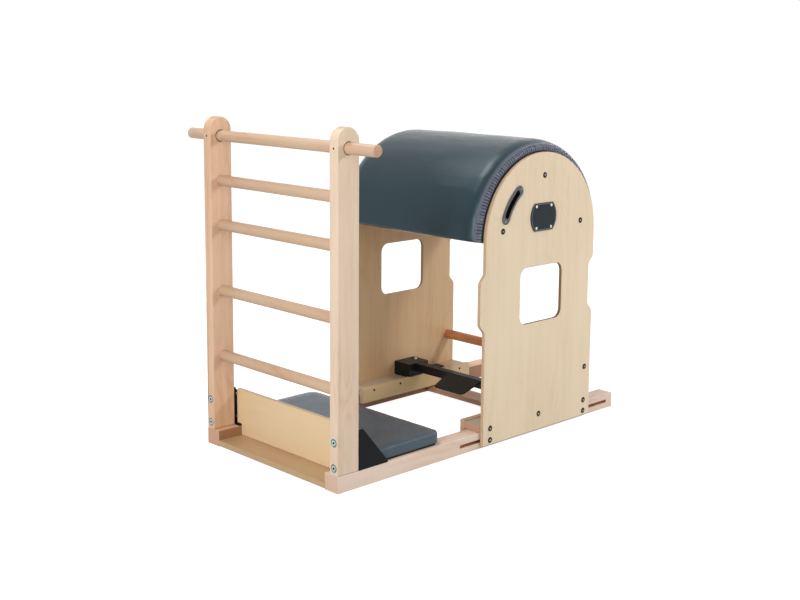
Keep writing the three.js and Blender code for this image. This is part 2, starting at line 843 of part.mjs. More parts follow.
// Saddles: a block on each rail and a strip that hangs down its inner side
function saddle_block(side) {
  const low = Math.min(side * saddle_block_inner, side * carriage_seat);
  const high = Math.max(side * saddle_block_inner, side * carriage_seat);
  const body = board("x", low, high, saddle_bottom, saddle_top, panel_front, panel_back);
  const bores = saddle_bolt_places.map((x) => {
    return shank_bore(side, x, saddle_bolt_height, panel_inner, bolt_hole_depth);
  });
  const plunger_bore = shoe_diameter + 2 * bore_clearance;
  const well = rod("z", plunger_x, side * plunger_y, plunger_bore, rail_height, saddle_top + overrun);
  return cut(body, ...bores, well);
}

function saddle_strip(side) {
  const low = Math.min(side * strip_inner, side * strip_outer);
  const bottom = strip_top - strip_height;
  return board("x", low, low + strip_thickness, bottom, strip_top, panel_front, panel_back);
}

// Panel bolts and guide bolts
function add_panel_bolts(side, label) {
  const bolt_shape = bolt(
    panel_bolt_head_diameter,
    panel_bolt_head_height,
    panel_bolt_shank_diameter,
    panel_bolt_reach,
  );
  const groups = {
    drum: drum_bolt_places,
    dowel: [[dowel_x, dowel_height]],
    saddle: saddle_bolt_places.map((x) => [x, saddle_bolt_height]),
  };
  for (const [group, places] of Object.entries(groups)) {
    places.forEach(([x, z], number) => {
      const geometry = stand_bolt(bolt_shape, side, x, panel_bolt_stand, z);
      place(`${group}_bolt_${label}_${number + 1}`, geometry, "chrome");
    });
  }
}

function add_guide_bolts(side, label) {
  const reach = panel_bolt_stand - rail_outer + guide_pin_reach;
  const pin = bolt(panel_bolt_head_diameter, panel_bolt_head_height, guide_pin_diameter, reach);
  guide_places.forEach((x, number) => {
    const geometry = stand_bolt(pin, side, x, panel_bolt_stand, guide_height);
    place(`guide_bolt_${label}_${number + 1}`, geometry, "chrome");
  });
}

// Lock housings: a foot on the saddle, a top plate, two walls and a bearing plate
function lock_housing(side) {
  const inner = side * housing_inner;
  const outer = side * (carriage_seat - seat_gap);
  const wall_foot = strip_top + seat_gap;
  const foot_inner = side * (saddle_block_inner + seat_gap);
  const half_foot = lock_foot_width / 2;
  const foot_left = side * plunger_y - half_foot;
  const foot_top = housing_foot + lock_foot_thickness;
  const tail = housing_back + lock_foot_tail;
  const bearing_back = side * (housing_inner + housing_wall);
  const plates = [
    block("y", housing_front, housing_back, housing_foot, foot_top, foot_inner, outer),
    block("z", housing_front, tail, foot_left, foot_left + lock_foot_width, housing_foot, foot_top),
    block("y", housing_front, housing_back, housing_top - housing_wall, housing_top, inner, outer),
    block("y", housing_front, housing_front + housing_wall, wall_foot, housing_top, inner, outer),
    block("y", housing_back - housing_wall, housing_back, wall_foot, housing_top, inner, outer),
    block("y", housing_front, housing_back, wall_foot, housing_top, inner, bearing_back),
  ];
  const bearing = journal_diameter + 2 * bore_clearance;
  const bearing_end = side * (housing_inner + housing_wall + overrun);
  const well = shoe_diameter + 2 * bore_clearance;
  const cuts = [
    rod("y", bar_x, bar_axis_height, bearing, side * (housing_inner - overrun), bearing_end),
    rod("z", plunger_x, side * plunger_y, well, rail_height, foot_top + overrun),
    rod("z", plunger_x, side * plunger_y, top_hole_diameter, foot_top + overrun, housing_top + overrun),
  ];
  return cut(join(...plates), ...cuts);
}

// Cross bar with its foot pedal
function pedal_bar() {
  const half = bar_size / 2;
  const low = bar_axis_height - half;
  const high = bar_axis_height + half;
  const tube = block("y", bar_x - half, bar_x + half, low, high, -bar_end, bar_end);
  const hollow = block(
    "y",
    bar_x - half + bar_wall,
    bar_x + half - bar_wall,
    low + bar_wall,
    high - bar_wall,
    -bar_end - overrun,
    bar_end + overrun,
  );
  const root = pedal_root_width / 2;
  const tip = pedal_tip_width / 2;
  const toe = pedal_corner - pedal_reach;
  const outline = outline_of([
    [bar_wall, -root],
    [bar_wall, root],
    ...arc(toe, tip - pedal_corner, pedal_corner, quarter_turn, half_turn, bend_steps),
    ...arc(toe, pedal_corner - tip, pedal_corner, half_turn, half_turn + quarter_turn, bend_steps),
  ]);
  const plate = prism("z", outline, -pedal_thickness, 0, pedal_edge);
  plate.rotateY(-THREE.MathUtils.degToRad(pedal_tilt_degrees));
  plate.translate(bar_x - half, 0, high - bar_wall / 2);
  return join(cut(tube, hollow), cut(plate, hollow));
}

// Bar ends: a plug in the tube, a journal in the housing and a fork under the plunger's collar
function bar_end_piece(side) {
  const half_plug = bar_size / 2 - bar_wall - seat_gap;
  const plug = block(
    "y",
    bar_x - half_plug,
    bar_x + half_plug,
    bar_axis_height - half_plug,
    bar_axis_height + half_plug,
    side * (bar_end - plug_length),
    side * bar_end,
  );
  const prong_offset = stem_diameter / 2 + fork_clearance;
  const far_prong = plunger_y + prong_offset + fork_prong_thickness;
  const start = side * (bar_end - overrun);
  const pieces = [rod("y", bar_x, bar_axis_height, journal_diameter, start, side * far_prong)];
  for (const y of [plunger_y - prong_offset - fork_prong_thickness, plunger_y + prong_offset]) {
    pieces.push(prism("y", fork_outline(), side * y, side * (y + fork_prong_thickness)));
  }
  return join(plug, ...pieces);
}

// A low arm from under the journal to a round nose beneath the collar.
function fork_outline() {
  const nose = fork_nose_diameter / 2;
  return outline_of([
    ...arc(plunger_x, fork_z, nose, -quarter_turn, quarter_turn, bend_steps),
    ...arc(bar_x, fork_z, nose, quarter_turn, half_turn + quarter_turn, bend_steps),
  ]);
}

// Lock plungers: a brake foot, a stem and the collar that the fork lifts
function lock_plunger(side) {
  const foot = rail_height + shoe_clearance;
  const collar_foot = fork_z + fork_nose_diameter / 2 + shoe_clearance;
  const stem_top = housing_top + stem_proud;
  const y = side * plunger_y;
  const shoe = rod("z", plunger_x, y, shoe_diameter, foot, foot + shoe_rise, plunger_edge);
  const stem = rod("z", plunger_x, y, stem_diameter, foot + shoe_rise / 2, stem_top, plunger_edge);
  const collar = rod("z", plunger_x, y, collar_diameter, collar_foot, collar_foot + collar_thickness);
  return join(shoe, stem, collar);
}

// Fixed ladder base
place("front_cross_board", cross_board(0, front_board_width), "beech");
place("rear_cross_board", cross_board(rear_board_start, rear_board_width), "beech");
place("kick_board", kick_board(), "board");
place("foot_pad_board", pad_board(), "black_board");
place("foot_pad_cushion", pad_cushion(), "pad_vinyl");
add_rungs();

// Sliding barrel
place("drum_skin", drum_skin(), "plywood");
place("barrel_cushion", barrel_cushion(), "vinyl");
place("rear_dowel", rear_dowel(), "dowel");
place("badge_plate", badge_plate(), "badge");
place("pedal_bar", pedal_bar(), "black_steel");

// Pieces that both sides have
for (const [label, side] of [["near", -1], ["far", 1]]) {
  place(`rail_${label}`, rail(side), "beech");
  place(`upright_${label}`, upright(side), "beech");
  place(`bracket_${label}`, bracket(side), "black_steel");
  add_ladder_bolts(side, label);
  place(`side_panel_${label}`, side_panel(side), "plywood");
  place(`handle_bezel_${label}`, handle_bezel(side), "plastic");
  place(`drum_former_${label}`, drum_former(side), "plywood");
  place(`saddle_block_${label}`, saddle_block(side), "beech");
  place(`saddle_strip_${label}`, saddle_strip(side), "board");
  add_panel_bolts(side, label);
  add_guide_bolts(side, label);
  place(`lock_housing_${label}`, lock_housing(side), "black_steel");
  place(`bar_end_${label}`, bar_end_piece(side), "black_steel");
  place(`lock_plunger_${label}`, lock_plunger(side), "chrome");
}

export default part;
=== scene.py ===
"""Dresses the packed model of a pilates ladder barrel: finishes, upholstery and small fittings.

Every length is in metres. X runs along the rails from the ladder to the barrel, Y from the side with
the badge to the other side, and Z up from the floor.
"""

import math

import bmesh
import bpy
from bpy.props import FloatProperty, FloatVectorProperty, IntProperty, PointerProperty
from mathutils import Matrix, Vector
from mathutils.noise import noise as noise_at


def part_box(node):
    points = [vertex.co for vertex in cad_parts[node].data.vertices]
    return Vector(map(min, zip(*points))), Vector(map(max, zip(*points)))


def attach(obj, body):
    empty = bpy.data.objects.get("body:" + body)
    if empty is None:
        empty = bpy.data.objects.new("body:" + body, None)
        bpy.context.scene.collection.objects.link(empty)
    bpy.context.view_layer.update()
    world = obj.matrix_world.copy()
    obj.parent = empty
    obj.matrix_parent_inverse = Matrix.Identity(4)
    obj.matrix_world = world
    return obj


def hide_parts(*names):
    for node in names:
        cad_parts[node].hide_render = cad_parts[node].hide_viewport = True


bl_info = {
    "name": "Ladder Barrel",
    "version": (1, 0, 0),
    "blender": (4, 5, 0),
    "location": "View3D > Sidebar > Ladder Barrel",
    "description": "Finishes, upholstery and fittings of a pilates ladder barrel",
    "category": "Object",
}

SIDES = {"near": -1, "far": 1}
MERGE = 1e-6
HIDDEN_EDGE = 0.0002
ROUND_SIDES = 48
# Point attribute that holds how deep a cushion point lies in a gather; the vinyl darkens with it as painted
# shade in the creases
GATHER = "gather"

# Edges that turn by more than this many degrees stay sharp
CREASE = 50.0
HEAD_CREASE = 30.0
CUSHION_CREASE = 75.0

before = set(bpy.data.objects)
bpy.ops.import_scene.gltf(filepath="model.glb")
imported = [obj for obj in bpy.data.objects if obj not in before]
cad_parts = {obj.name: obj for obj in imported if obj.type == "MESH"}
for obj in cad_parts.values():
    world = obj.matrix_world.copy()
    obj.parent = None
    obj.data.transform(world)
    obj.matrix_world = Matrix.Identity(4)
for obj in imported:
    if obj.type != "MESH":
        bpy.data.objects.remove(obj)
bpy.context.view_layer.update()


def tint(red, green, blue):
    """A colour as it looks on a screen, from 0 to 255, as the linear value that the shaders take."""
    screen = (level / 255 for level in (red, green, blue))
    return tuple(s / 12.92 if s <= 0.04045 else ((s + 0.055) / 1.055) ** 2.4 for s in screen)


def colour(name, description, *screen):
    return FloatVectorProperty(
        name=name, description=description, default=tint(*screen), subtype="COLOR", size=3, min=0, max=1
    )


def length(name, description, default):
    return FloatProperty(name=name, description=description, default=default, unit="LENGTH", precision=4)


class LadderBarrelSizes(bpy.types.PropertyGroup):
    """Sizes of the upholstery and the small fittings"""

    rod_edge: length("Rod edge", "Rounding of the ends of the top rung", 0.003)
    wood_edge: length("Wood edge", "Rounding of the edges of the boards and the plywood", 0.0009)
    steel_edge: length("Steel edge", "Rounding of the edges of the black steel pieces", 0.0007)
    gather_pitch: length("Gather pitch", "Distance from one gather of the barrel's seam to the next", 0.0102)
    gather_depth: length("Gather depth", "Depth of the gathers at the barrel's seams", 0.0034)
    gather_reach: length("Gather reach", "How far the gathers run from the barrel's ends", 0.0135)
    end_roll: length("End roll", "How far from its ends the barrel's cushion starts to roll down", 0.060)
    end_drop: length("End drop", "How far the barrel's cushion rolls down at its ends", 0.0175)
    bead: length("Seam bead", "Depth of the gathered bead at the barrel's ends", 0.0066)
    bead_height: length("Bead height", "Half the height of the gathered bead", 0.0102)
    tip_roll: length("Tip roll", "Rounding of the barrel cushion's two lower edges", 0.012)
    pad_corner: length("Pad corner", "Rounding of the foot pad's corners, seen from above", 0.036)
    pad_edge: length("Pad edge", "Rounding of the foot pad's upper edge", 0.009)
    pad_fall: length("Pad fall", "How far the foot pad's top falls to its edges", 0.006)
    pad_reach: length("Pad reach", "How far in from its edges the foot pad's top starts to fall", 0.055)
    set_screw: length("Set screw", "Radius of the screws that hold the top rung", 0.0043)
    # The dark ring round the top rung is painted shade of the gap
    rung_gap: length("Rung gap", "Width of the dark gap round the top rung", 0.0021)
    strip_screw: length("Strip screw", "Radius of the screws in the saddle strips", 0.0044)
    bezel_screw: length("Bezel screw", "Radius of the screws in the handle bezels", 0.0026)
    badge_screw: length("Badge screw", "Radius of the screws in the badge", 0.0048)
    badge_border: length("Badge border", "Distance of the badge's engraved line from its edge", 0.0035)
    bolt_sides: IntProperty(name="Bolt sides", description="Sides of a bolt's head", default=36, min=12)


class LadderBarrelColours(bpy.types.PropertyGroup):
    """Colours of the finishes"""

    beech: colour("Beech", "Pale wood of the near upright", 229, 206, 182)
    beech_dark: colour("Beech figure", "Darker figure of the near upright and the near rail", 200, 162, 132)
    # The far parts' warmer, darker beech is partly the wood's own tone and partly painted shade
    rose_beech: colour("Rose beech", "Warmer wood of the far upright and the far rail", 228, 190, 158)
    rung: colour("Rung beech", "Wood of the rungs", 205, 176, 147)
    pink_beech: colour("Rail beech", "Wood of the near rail", 235, 213, 195)
    rose_dark: colour("Rose beech figure", "Darker figure of the warmer wood", 188, 140, 108)
    birch: colour("Birch", "Outer face of the plywood panels", 236, 216, 186)
    birch_dark: colour("Birch figure", "Darker figure of the outer faces", 214, 188, 152)
    # The inner faces are darker and warmer than the outer ones as painted shade
    birch_inside: colour("Inner birch", "Inner face of the plywood panels", 215, 183, 141)
    inside_dark: colour("Inner figure", "Darker figure of the inner faces", 190, 148, 104)
    ply_board: colour("Plywood board", "Face of the kick board", 229, 202, 160)
    ply_light: colour("Plywood edge", "Light layers in a plywood edge", 224, 196, 164)
    ply_glue: colour("Plywood glue", "Dark layers in a plywood edge", 160, 126, 96)
    dowel: colour("Dowel", "Wood of the rear dowel", 214, 146, 100)
    vinyl: colour("Barrel vinyl", "Upholstery of the barrel", 36, 54, 62)
    # The seam's ridge tone is partly its own purple-grey and partly a painted highlight, and its crease tone
    # is painted shade
    seam: colour("Seam vinyl", "Tone of the ridges of the gathered ends", 108, 110, 126)
    seam_crease: colour("Seam creases", "Tone of the creases of the gathered ends", 56, 58, 72)
    pad_vinyl: colour("Pad vinyl", "Upholstery of the foot pad", 68, 80, 91)
    black_steel: colour("Black steel", "Powder coat of the corner brackets", 8, 11, 14)
    lock_steel: colour("Lock steel", "Powder coat of the foot lock", 18, 20, 22)
    black_board: colour("Black board", "Board under the foot pad", 26, 27, 30)
    bright_steel: colour("Bright steel", "Bare steel of small screws and of bolt sockets", 226, 223, 217)
    blue_zinc: colour("Blue zinc", "Rims of the ladder bolts", 84, 136, 142)
    pale_zinc: colour("Pale zinc", "Faces of the ladder bolts", 176, 196, 190)
    # Dark faces of the panel bolts and dark sockets of the badge screws: painted shade
    dark_face: colour("Dark steel", "Faces of the panel bolts", 48, 40, 34)
    plastic: colour("Plastic", "Bezels of the handle slots", 66, 70, 76)
    badge: colour("Badge", "Badge plate", 9, 22, 31)
    badge_line: colour("Badge line", "Engraved line on the badge", 134, 146, 154)


def sizes():
    return bpy.context.scene.ladder_barrel_sizes


# Shader nodes

FLOAT, COLOUR, VECTOR = "NodeSocketFloat", "NodeSocketColor", "NodeSocketVector"
SPECULAR = "Specular IOR Level"


def fill(tree, made, values):
    """Gives each named input of a node a link or a value."""
    for name, value in values.items():
        socket = made.inputs[name]
        if isinstance(value, bpy.types.NodeSocket):
            tree.links.new(value, socket)
        elif socket.type == "RGBA":
            socket.default_value = (*value[:3], 1)
        else:
            socket.default_value = value


def put(tree, kind, values, **settings):
    """Adds a node with its settings and its inputs."""
    made = tree.nodes.new(kind)
    for name, value in settings.items():
        setattr(made, name, value)
    fill(tree, made, values)
    return made


def calc(tree, operation, first, second=0.0, third=0.0):
    return put(tree, "ShaderNodeMath", {0: first, 1: second, 2: third}, operation=operation).outputs[0]


def times(tree, first, second):
    return calc(tree, "MULTIPLY", first, second)


def scaled(tree, value, factor, more):
    """A value times a factor, and more added to it."""
    return calc(tree, "MULTIPLY_ADD", value, factor, more)


def ramp(tree, value, low, high, to_low=0.0, to_high=1.0):
    """Turns a value between two levels into a smooth step between two others."""
    values = {"Value": value, "From Min": low, "From Max": high, "To Min": to_low, "To Max": to_high}
    return put(tree, "ShaderNodeMapRange", values, interpolation_type="SMOOTHSTEP").outputs["Result"]


def mix(tree, share, first, second):
    return put(tree, "ShaderNodeMix", {0: share, 6: first, 7: second}, data_type="RGBA").outputs[2]


def brighter(tree, base, factor):
    return put(tree, "ShaderNodeHueSaturation", {"Value": factor, "Color": base}).outputs[0]


def axis_part(tree, vector, axis):
    """One coordinate of a vector, without its sign."""
    return calc(tree, "ABSOLUTE", put(tree, "ShaderNodeSeparateXYZ", {0: vector}).outputs[axis])


def noise(tree, vector, scale, detail=2.0, distortion=0.0):
    values = {"Vector": vector, "Scale": scale, "Detail": detail, "Distortion": distortion}
    return put(tree, "ShaderNodeTexNoise", values).outputs["Fac"]


def stretched(tree, vector, scale, place=(0, 0, 0), turn=(0, 0, 0), kind="POINT"):
    values = {"Vector": vector, "Scale": scale, "Rotation": turn}
    if kind == "POINT":
        values["Location"] = place
    return put(tree, "ShaderNodeMapping", values, vector_type=kind).outputs["Vector"]


def surface(tree, build, values):
    """Adds the shader group that a function builds, and gives its colour, roughness and height.

    The group is made when it is first asked for, with an input for each of the values.
    """
    group = bpy.data.node_groups.get(build.__name__)
    if group is None:
        group = bpy.data.node_groups.new(build.__name__, "ShaderNodeTree")
        for name, value in values.items():
            kind = VECTOR if name in ("Vector", "Normal") else FLOAT if isinstance(value, float) else COLOUR
            group.interface.new_socket(name, in_out="INPUT", socket_type=kind)
        for name, kind in (("Color", COLOUR), ("Roughness", FLOAT), ("Height", FLOAT)):
            group.interface.new_socket(name, in_out="OUTPUT", socket_type=kind)
        given = group.nodes.new("NodeGroupInput").outputs
        results = group.nodes.new("NodeGroupOutput").inputs
        for result, value in zip(results, build(group, given)):
            group.links.new(value, result)
    return put(tree, "ShaderNodeGroup", values, node_tree=group).outputs


def wood_grain(group, given):
    """Grain along X: growth figure, fibres, flecks and end grain."""
    place = given["Vector"]
    growth = noise(group, stretched(group, place, (0.16, 1, 1)), 9.0, 3.0, 0.5)
    line = ramp(group, calc(group, "PINGPONG", times(group, growth, 22.0), 1.0), 0.0, 0.55, 1.0, 0.0)
    fibre = noise(group, stretched(group, place, (0.035, 1, 1)), 620.0)
    streak = noise(group, stretched(group, place, (0.05, 1, 1)), 60.0)
    blotch = noise(group, stretched(group, place, (0.45, 1, 1)), 5.0)
    fleck = ramp(group, noise(group, stretched(group, place, (0.2, 1, 1)), 900.0, 0.0), 0.66, 0.74)
    figure = times(group, times(group, line, ramp(group, blotch, 0.38, 0.62)), given["Figure"])
    shade = scaled(group, figure, 0.55, 0.16)
    for part, factor in ((streak, 0.5), (fibre, 0.3), (blotch, 0.7)):
        shade = calc(group, "ADD", shade, scaled(group, part, factor, -factor / 2))
    shade = calc(group, "ADD", shade, times(group, fleck, times(group, given["Flecks"], 0.4)))
    end = ramp(group, axis_part(group, given["Normal"], 0), 0.8, 0.95)
    end_shade = scaled(group, noise(group, place, 420.0), 0.6, 0.42)
    shade = put(group, "ShaderNodeMix", {0: end, 2: shade, 3: end_shade}).outputs[0]
    shade = put(group, "ShaderNodeClamp", {0: shade}).outputs[0]
    rough = calc(group, "ADD", given["Gloss"], scaled(group, fibre, 0.16, -0.08))
    height = calc(group, "SUBTRACT", times(group, fibre, 0.6), times(group, fleck, 0.6))
    return mix(group, shade, given["Light"], given["Dark"]), rough, height


VENEER = 0.0016


def ply_layers(group, given):
    """Light and dark veneers across X, for the cut edges of plywood."""
    place = given["Vector"]
    across = put(group, "ShaderNodeSeparateXYZ", {0: place}).outputs[0]
    wander = noise(group, stretched(group, place, (1, 0.3, 0.3)), 30.0, 1.0)
    layer = calc(group, "ADD", calc(group, "DIVIDE", across, VENEER), times(group, wander, 0.5))
    veneer = ramp(group, calc(group, "PINGPONG", layer, 1.0), 0.35, 0.65)
    fibre = noise(group, stretched(group, place, (1, 0.12, 0.12)), 700.0)
    shade = calc(group, "ADD", times(group, veneer, 0.55), scaled(group, fibre, 0.5, -0.1))
    layers = mix(group, shade, given["Light"], given["Dark"])
    face = ramp(group, axis_part(group, given["Normal"], 0), 0.55, 0.85)
    edge_height = times(group, scaled(group, veneer, 0.5, fibre), 0.8)
    height = times(group, edge_height, calc(group, "SUBTRACT", 1.0, face))
    return mix(group, face, layers, given["Face"]), ramp(group, face, 0.0, 1.0, 0.62, 0.42), height


LEATHER_WARP = 0.0009


def leather_grain(group, given):
    """Small pebbles and fine creases of upholstery vinyl, with a faint change of tone."""
    base = given["Base"]
    bent = put(group, "ShaderNodeTexNoise", {"Vector": given["Vector"], "Scale": 300.0}).outputs["Color"]
    warp = put(group, "ShaderNodeVectorMath", {0: bent, "Scale": LEATHER_WARP}, operation="SCALE").outputs[0]
    place = put(group, "ShaderNodeVectorMath", {0: given["Vector"], 1: warp}).outputs[0]
    values = {"Vector": place, "Scale": given["Scale"]}
    cells = put(group, "ShaderNodeTexVoronoi", values, feature="DISTANCE_TO_EDGE").outputs["Distance"]
    pebble = ramp(group, cells, 0.0, 0.22)
    tone = noise(group, given["Vector"], 7.0, 3.0)
    fine = noise(group, given["Vector"], 2400.0, 1.0)
    toned = mix(group, ramp(group, tone, 0.3, 0.7), base, brighter(group, base, 1.12))
    share = times(group, calc(group, "SUBTRACT", 1.0, pebble), 0.6)
    rough = calc(group, "ADD", given["Gloss"], scaled(group, tone, 0.12, -0.06))
    rough = calc(group, "SUBTRACT", rough, times(group, pebble, 0.05))
    return mix(group, share, toned, brighter(group, base, 0.72)), rough, scaled(group, fine, 0.2, pebble)


def fine_coat(group, given):
    """The fine texture of powder coat or moulded plastic, with dusty and rubbed patches."""
    base = given["Base"]
    peel = noise(group, given["Vector"], given["Scale"])
    patch = noise(group, given["Vector"], 26.0, 4.0)
    worn = mix(group, ramp(group, patch, 0.45, 0.75), base, brighter(group, base, 1.35))
    return worn, calc(group, "ADD", given["Gloss"], scaled(group, patch, 0.24, -0.12)), peel


def machined(group, given):
    """Fine turning marks and a faint bloom on bare or plated steel."""
    base = given["Base"]
    marks = noise(group, stretched(group, given["Vector"], (1, 0.08, 1)), 2600.0)
    bloom = noise(group, given["Vector"], 160.0, 3.0)
    dull = mix(group, ramp(group, bloom, 0.4, 0.7), base, brighter(group, base, 0.75))
    return dull, calc(group, "ADD", given["Gloss"], times(group, bloom, 0.2)), marks


# Materials

# Depths of the bumps of the surfaces
GRAIN_DEPTH = 0.00012
PLY_DEPTH = 0.0002
LEATHER_DEPTH = 0.00008
COAT_DEPTH = 0.00006
BOARD_DEPTH = 0.0002
MOULDED_DEPTH = 0.00004
FINE_DEPTH = 0.00002

# Turns that bring each axis onto X, along which a grain runs and across which veneers lie
ONTO_X = {"x": (0, 0, 0), "y": (0, 0, -math.pi / 2), "z": (0, math.pi / 2, 0)}


def new_material(name):
    """An empty Principled material, its tree and its shader."""
    made = bpy.data.materials.new(name)
    made.use_nodes = True
    return made, made.node_tree, made.node_tree.nodes["Principled BSDF"]


def join_surface(tree, shader, made, depth, looks):
    """Links a surface to the shader, with a bump of a real depth and further looks."""
    bump = put(tree, "ShaderNodeBump", {"Height": made["Height"], "Distance": depth, "Strength": 1.0})
    links = {"Base Color": made["Color"], "Roughness": made["Roughness"], "Normal": bump.outputs["Normal"]}
    fill(tree, shader, {**links, **looks})


def grained(tree, place, axis, shift, ends, values):
    """A wood surface with its grain along an axis, and with end grain if ends is 1 but not if it is 0."""
    vectors = {
        "Vector": stretched(tree, place["Object"], (1, 1, 1), shift, ONTO_X[axis]),
        "Normal": stretched(tree, place["Normal"], (ends, ends, ends), turn=ONTO_X[axis], kind="NORMAL"),
    }
    return surface(tree, wood_grain, {**vectors, **values})


def wood(tree, shader, place, axis, light, dark, figure=0.5, shift=(0, 0, 0)):
    """Solid wood with its grain along an axis of the object."""
    values = {"Light": light, "Dark": dark, "Figure": figure, "Flecks": 0.5, "Gloss": 0.45}
    join_surface(tree, shader, grained(tree, place, axis, shift, 1, values), GRAIN_DEPTH, {SPECULAR: 0.4})


def plywood(tree, shader, place, across, along, face, dark, edge_light, edge_dark, shift=(0, 0, 0)):
    """Plywood: a veneered face with its grain along one axis, and layered edges across another."""
    values = {"Light": face, "Dark": dark, "Figure": 0.35, "Flecks": 0.25, "Gloss": 0.42}
    layers = {
        "Vector": stretched(tree, place["Object"], (1, 1, 1), turn=ONTO_X[across]),
        "Normal": stretched(tree, place["Normal"], (1, 1, 1), turn=ONTO_X[across], kind="NORMAL"),
        "Face": grained(tree, place, along, shift, 0, values)["Color"],
        "Light": edge_light,
        "Dark": edge_dark,
    }
    join_surface(tree, shader, surface(tree, ply_layers, layers), PLY_DEPTH, {SPECULAR: 0.4})


def vinyl(tree, shader, place, base, gloss, seam=None):
    """Upholstery vinyl. A seam is the tones of its ridges and creases, and the |Y| where it fades in."""
    if seam:
        ridge_tone_and_highlight, crease_shade, start, full = seam
        gather = put(tree, "ShaderNodeAttribute", {}, attribute_name=GATHER).outputs["Fac"]
        tone = mix(tree, ramp(tree, gather, 0.1, 0.7), ridge_tone_and_highlight, crease_shade)
        base = mix(tree, ramp(tree, axis_part(tree, place["Object"], 1), start, full), base, tone)
    values = {"Vector": place["Object"], "Base": base, "Scale": 620.0, "Gloss": gloss}
    looks = {SPECULAR: 0.30, "Specular Tint": (0.72, 0.93, 1.0)}
    join_surface(tree, shader, surface(tree, leather_grain, values), LEATHER_DEPTH, looks)


def coated(tree, shader, place, base, gloss, sheen=0.5, scale=1400.0, depth=COAT_DEPTH, metallic=0.0):
    values = {"Vector": place["Object"], "Base": base, "Scale": scale, "Gloss": gloss}
    looks = {"Metallic": metallic, SPECULAR: sheen}
    join_surface(tree, shader, surface(tree, fine_coat, values), depth, looks)


def steel(tree, shader, place, base, gloss=0.25):
    values = {"Vector": place["Object"], "Base": base, "Gloss": gloss}
    join_surface(tree, shader, surface(tree, machined, values), FINE_DEPTH, {"Metallic": 1.0})


def finish(name):
    """The material of a finish, made when it is first asked for."""
    if name in bpy.data.materials:
        return bpy.data.materials[name]
    c = bpy.context.scene.ladder_barrel_colours
    layers = (c.ply_light, c.ply_glue)
    # Inner faces and window edges in darker tones as painted shade
    inner = (c.birch_inside, c.inside_dark, *layers)
    window_edge_shade = (tint(150, 114, 80), tint(150, 114, 80), tint(154, 120, 88), tint(90, 64, 42))
    # Seam tones: ridges with a painted highlight, creases with painted shade
    seam = (c.seam, c.seam_crease, 0.300, 0.316)
    black = tint(10, 10, 11)
    far = (1.7, 0.4, 0)
    finishes = {
        "beech near rail": (wood, "x", c.pink_beech, c.beech_dark, 0.5, (0.3, 0, 0)),
        "beech far rail": (wood, "x", c.rose_beech, c.rose_dark, 0.5, far),
        "beech near upright": (wood, "z", c.beech, c.beech_dark, 0.42, (0.1, 0.2, 0)),
        "beech far upright": (wood, "z", c.rose_beech, c.rose_dark, 0.6, (0.9, 0.6, 0.3)),
        "beech rungs": (wood, "y", c.rung, c.rose_dark),
        # The front cross board's darker tone is painted shade under the kick board
        "beech boards": (wood, "y", tint(188, 160, 120), c.rose_dark, 0.6),
        # The rear cross board's darker, redder tone is painted shade
        "beech rear board": (wood, "y", tint(196, 150, 118), c.rose_dark, 0.4),
        "beech saddles": (wood, "x", tint(184, 167, 142), c.rose_dark, 0.5, (0.5, 0.1, 0.2)),
        # Inner faces of the rails, darker as painted shade
        "shaded near rail": (wood, "x", tint(182, 138, 106), c.rose_dark, 0.5, (0.3, 0, 0)),
        "shaded far rail": (wood, "x", tint(168, 122, 92), tint(140, 98, 70), 0.5, far),
        "dowel wood": (wood, "y", c.dowel, tint(160, 92, 56)),
        "panel plywood": (plywood, "y", "z", c.birch, c.birch_dark, *layers),
        "panel inside": (plywood, "y", "z", *inner, (0.8, 0.3, 0)),
        "shaded window edge": (plywood, "y", "z", *window_edge_shade),
        "former plywood": (plywood, "y", "x", *inner, (0.4, 0, 0.6)),
        "skin plywood": (plywood, "z", "y", *inner, (0.4, 0, 0.6)),
        "kick board plywood": (plywood, "x", "y", c.ply_board, c.birch_dark, *layers),
        "strip plywood": (plywood, "y", "x", tint(218, 188, 142), c.birch_dark, *layers, (0, 0.2, 0)),
        "barrel vinyl": (vinyl, c.vinyl, 0.16, seam),
        # Dark vinyl under the seam's bead: painted shade
        "seam shade": (vinyl, tint(24, 24, 28), 0.7),
        "pad vinyl": (vinyl, c.pad_vinyl, 0.33),
        "black steel": (coated, c.black_steel, 0.45, 0.1),
        "lock steel": (coated, c.lock_steel, 0.42, 0.2),
        "black board": (coated, c.black_board, 0.75, 0.2, 500.0, BOARD_DEPTH),
        "bezel plastic": (coated, c.plastic, 0.45, 0.5, 2200.0, MOULDED_DEPTH),
        # Black of the set and strip screws, and painted shade on the walls of the handle openings
        "slot black": (coated, black, 0.6, 0.2, 2200.0, MOULDED_DEPTH),
        # Painted shade inside the bolt sockets and round the panel bolts' heads
        "socket shade": (coated, black, 0.6, 0.5, 1400.0, COAT_DEPTH, 0.2),
        "badge enamel": (coated, c.badge, 0.35, 0.2, 2600.0, FINE_DEPTH),
        # Painted shade of the gap round the top rung
        "gap shadow": (coated, tint(54, 34, 24), 0.9, 0.1),
        # Walls of the rails' guide slots, darker as painted shade
        "slot shadow": (coated, tint(200, 150, 112), 0.8, 0.1),
        "badge engraving": (steel, c.badge_line, 0.35),
        "bright steel": (steel, c.bright_steel),
        "pale zinc": (steel, c.pale_zinc, 0.4),
        "blue zinc": (steel, c.blue_zinc, 0.35),
        # Painted shade on the panel bolts' faces and the badge screws' sockets
        "steel shade": (steel, c.dark_face, 0.45),
    }
    kind, *values = finishes[name]
    made, tree, shader = new_material(name)
    kind(tree, shader, tree.nodes.new("ShaderNodeTexCoord").outputs, *values)
    return made


# Meshes


def add_object(name, data):
    made = bpy.data.objects.new(name, data)
    bpy.context.scene.collection.objects.link(made)
    return made


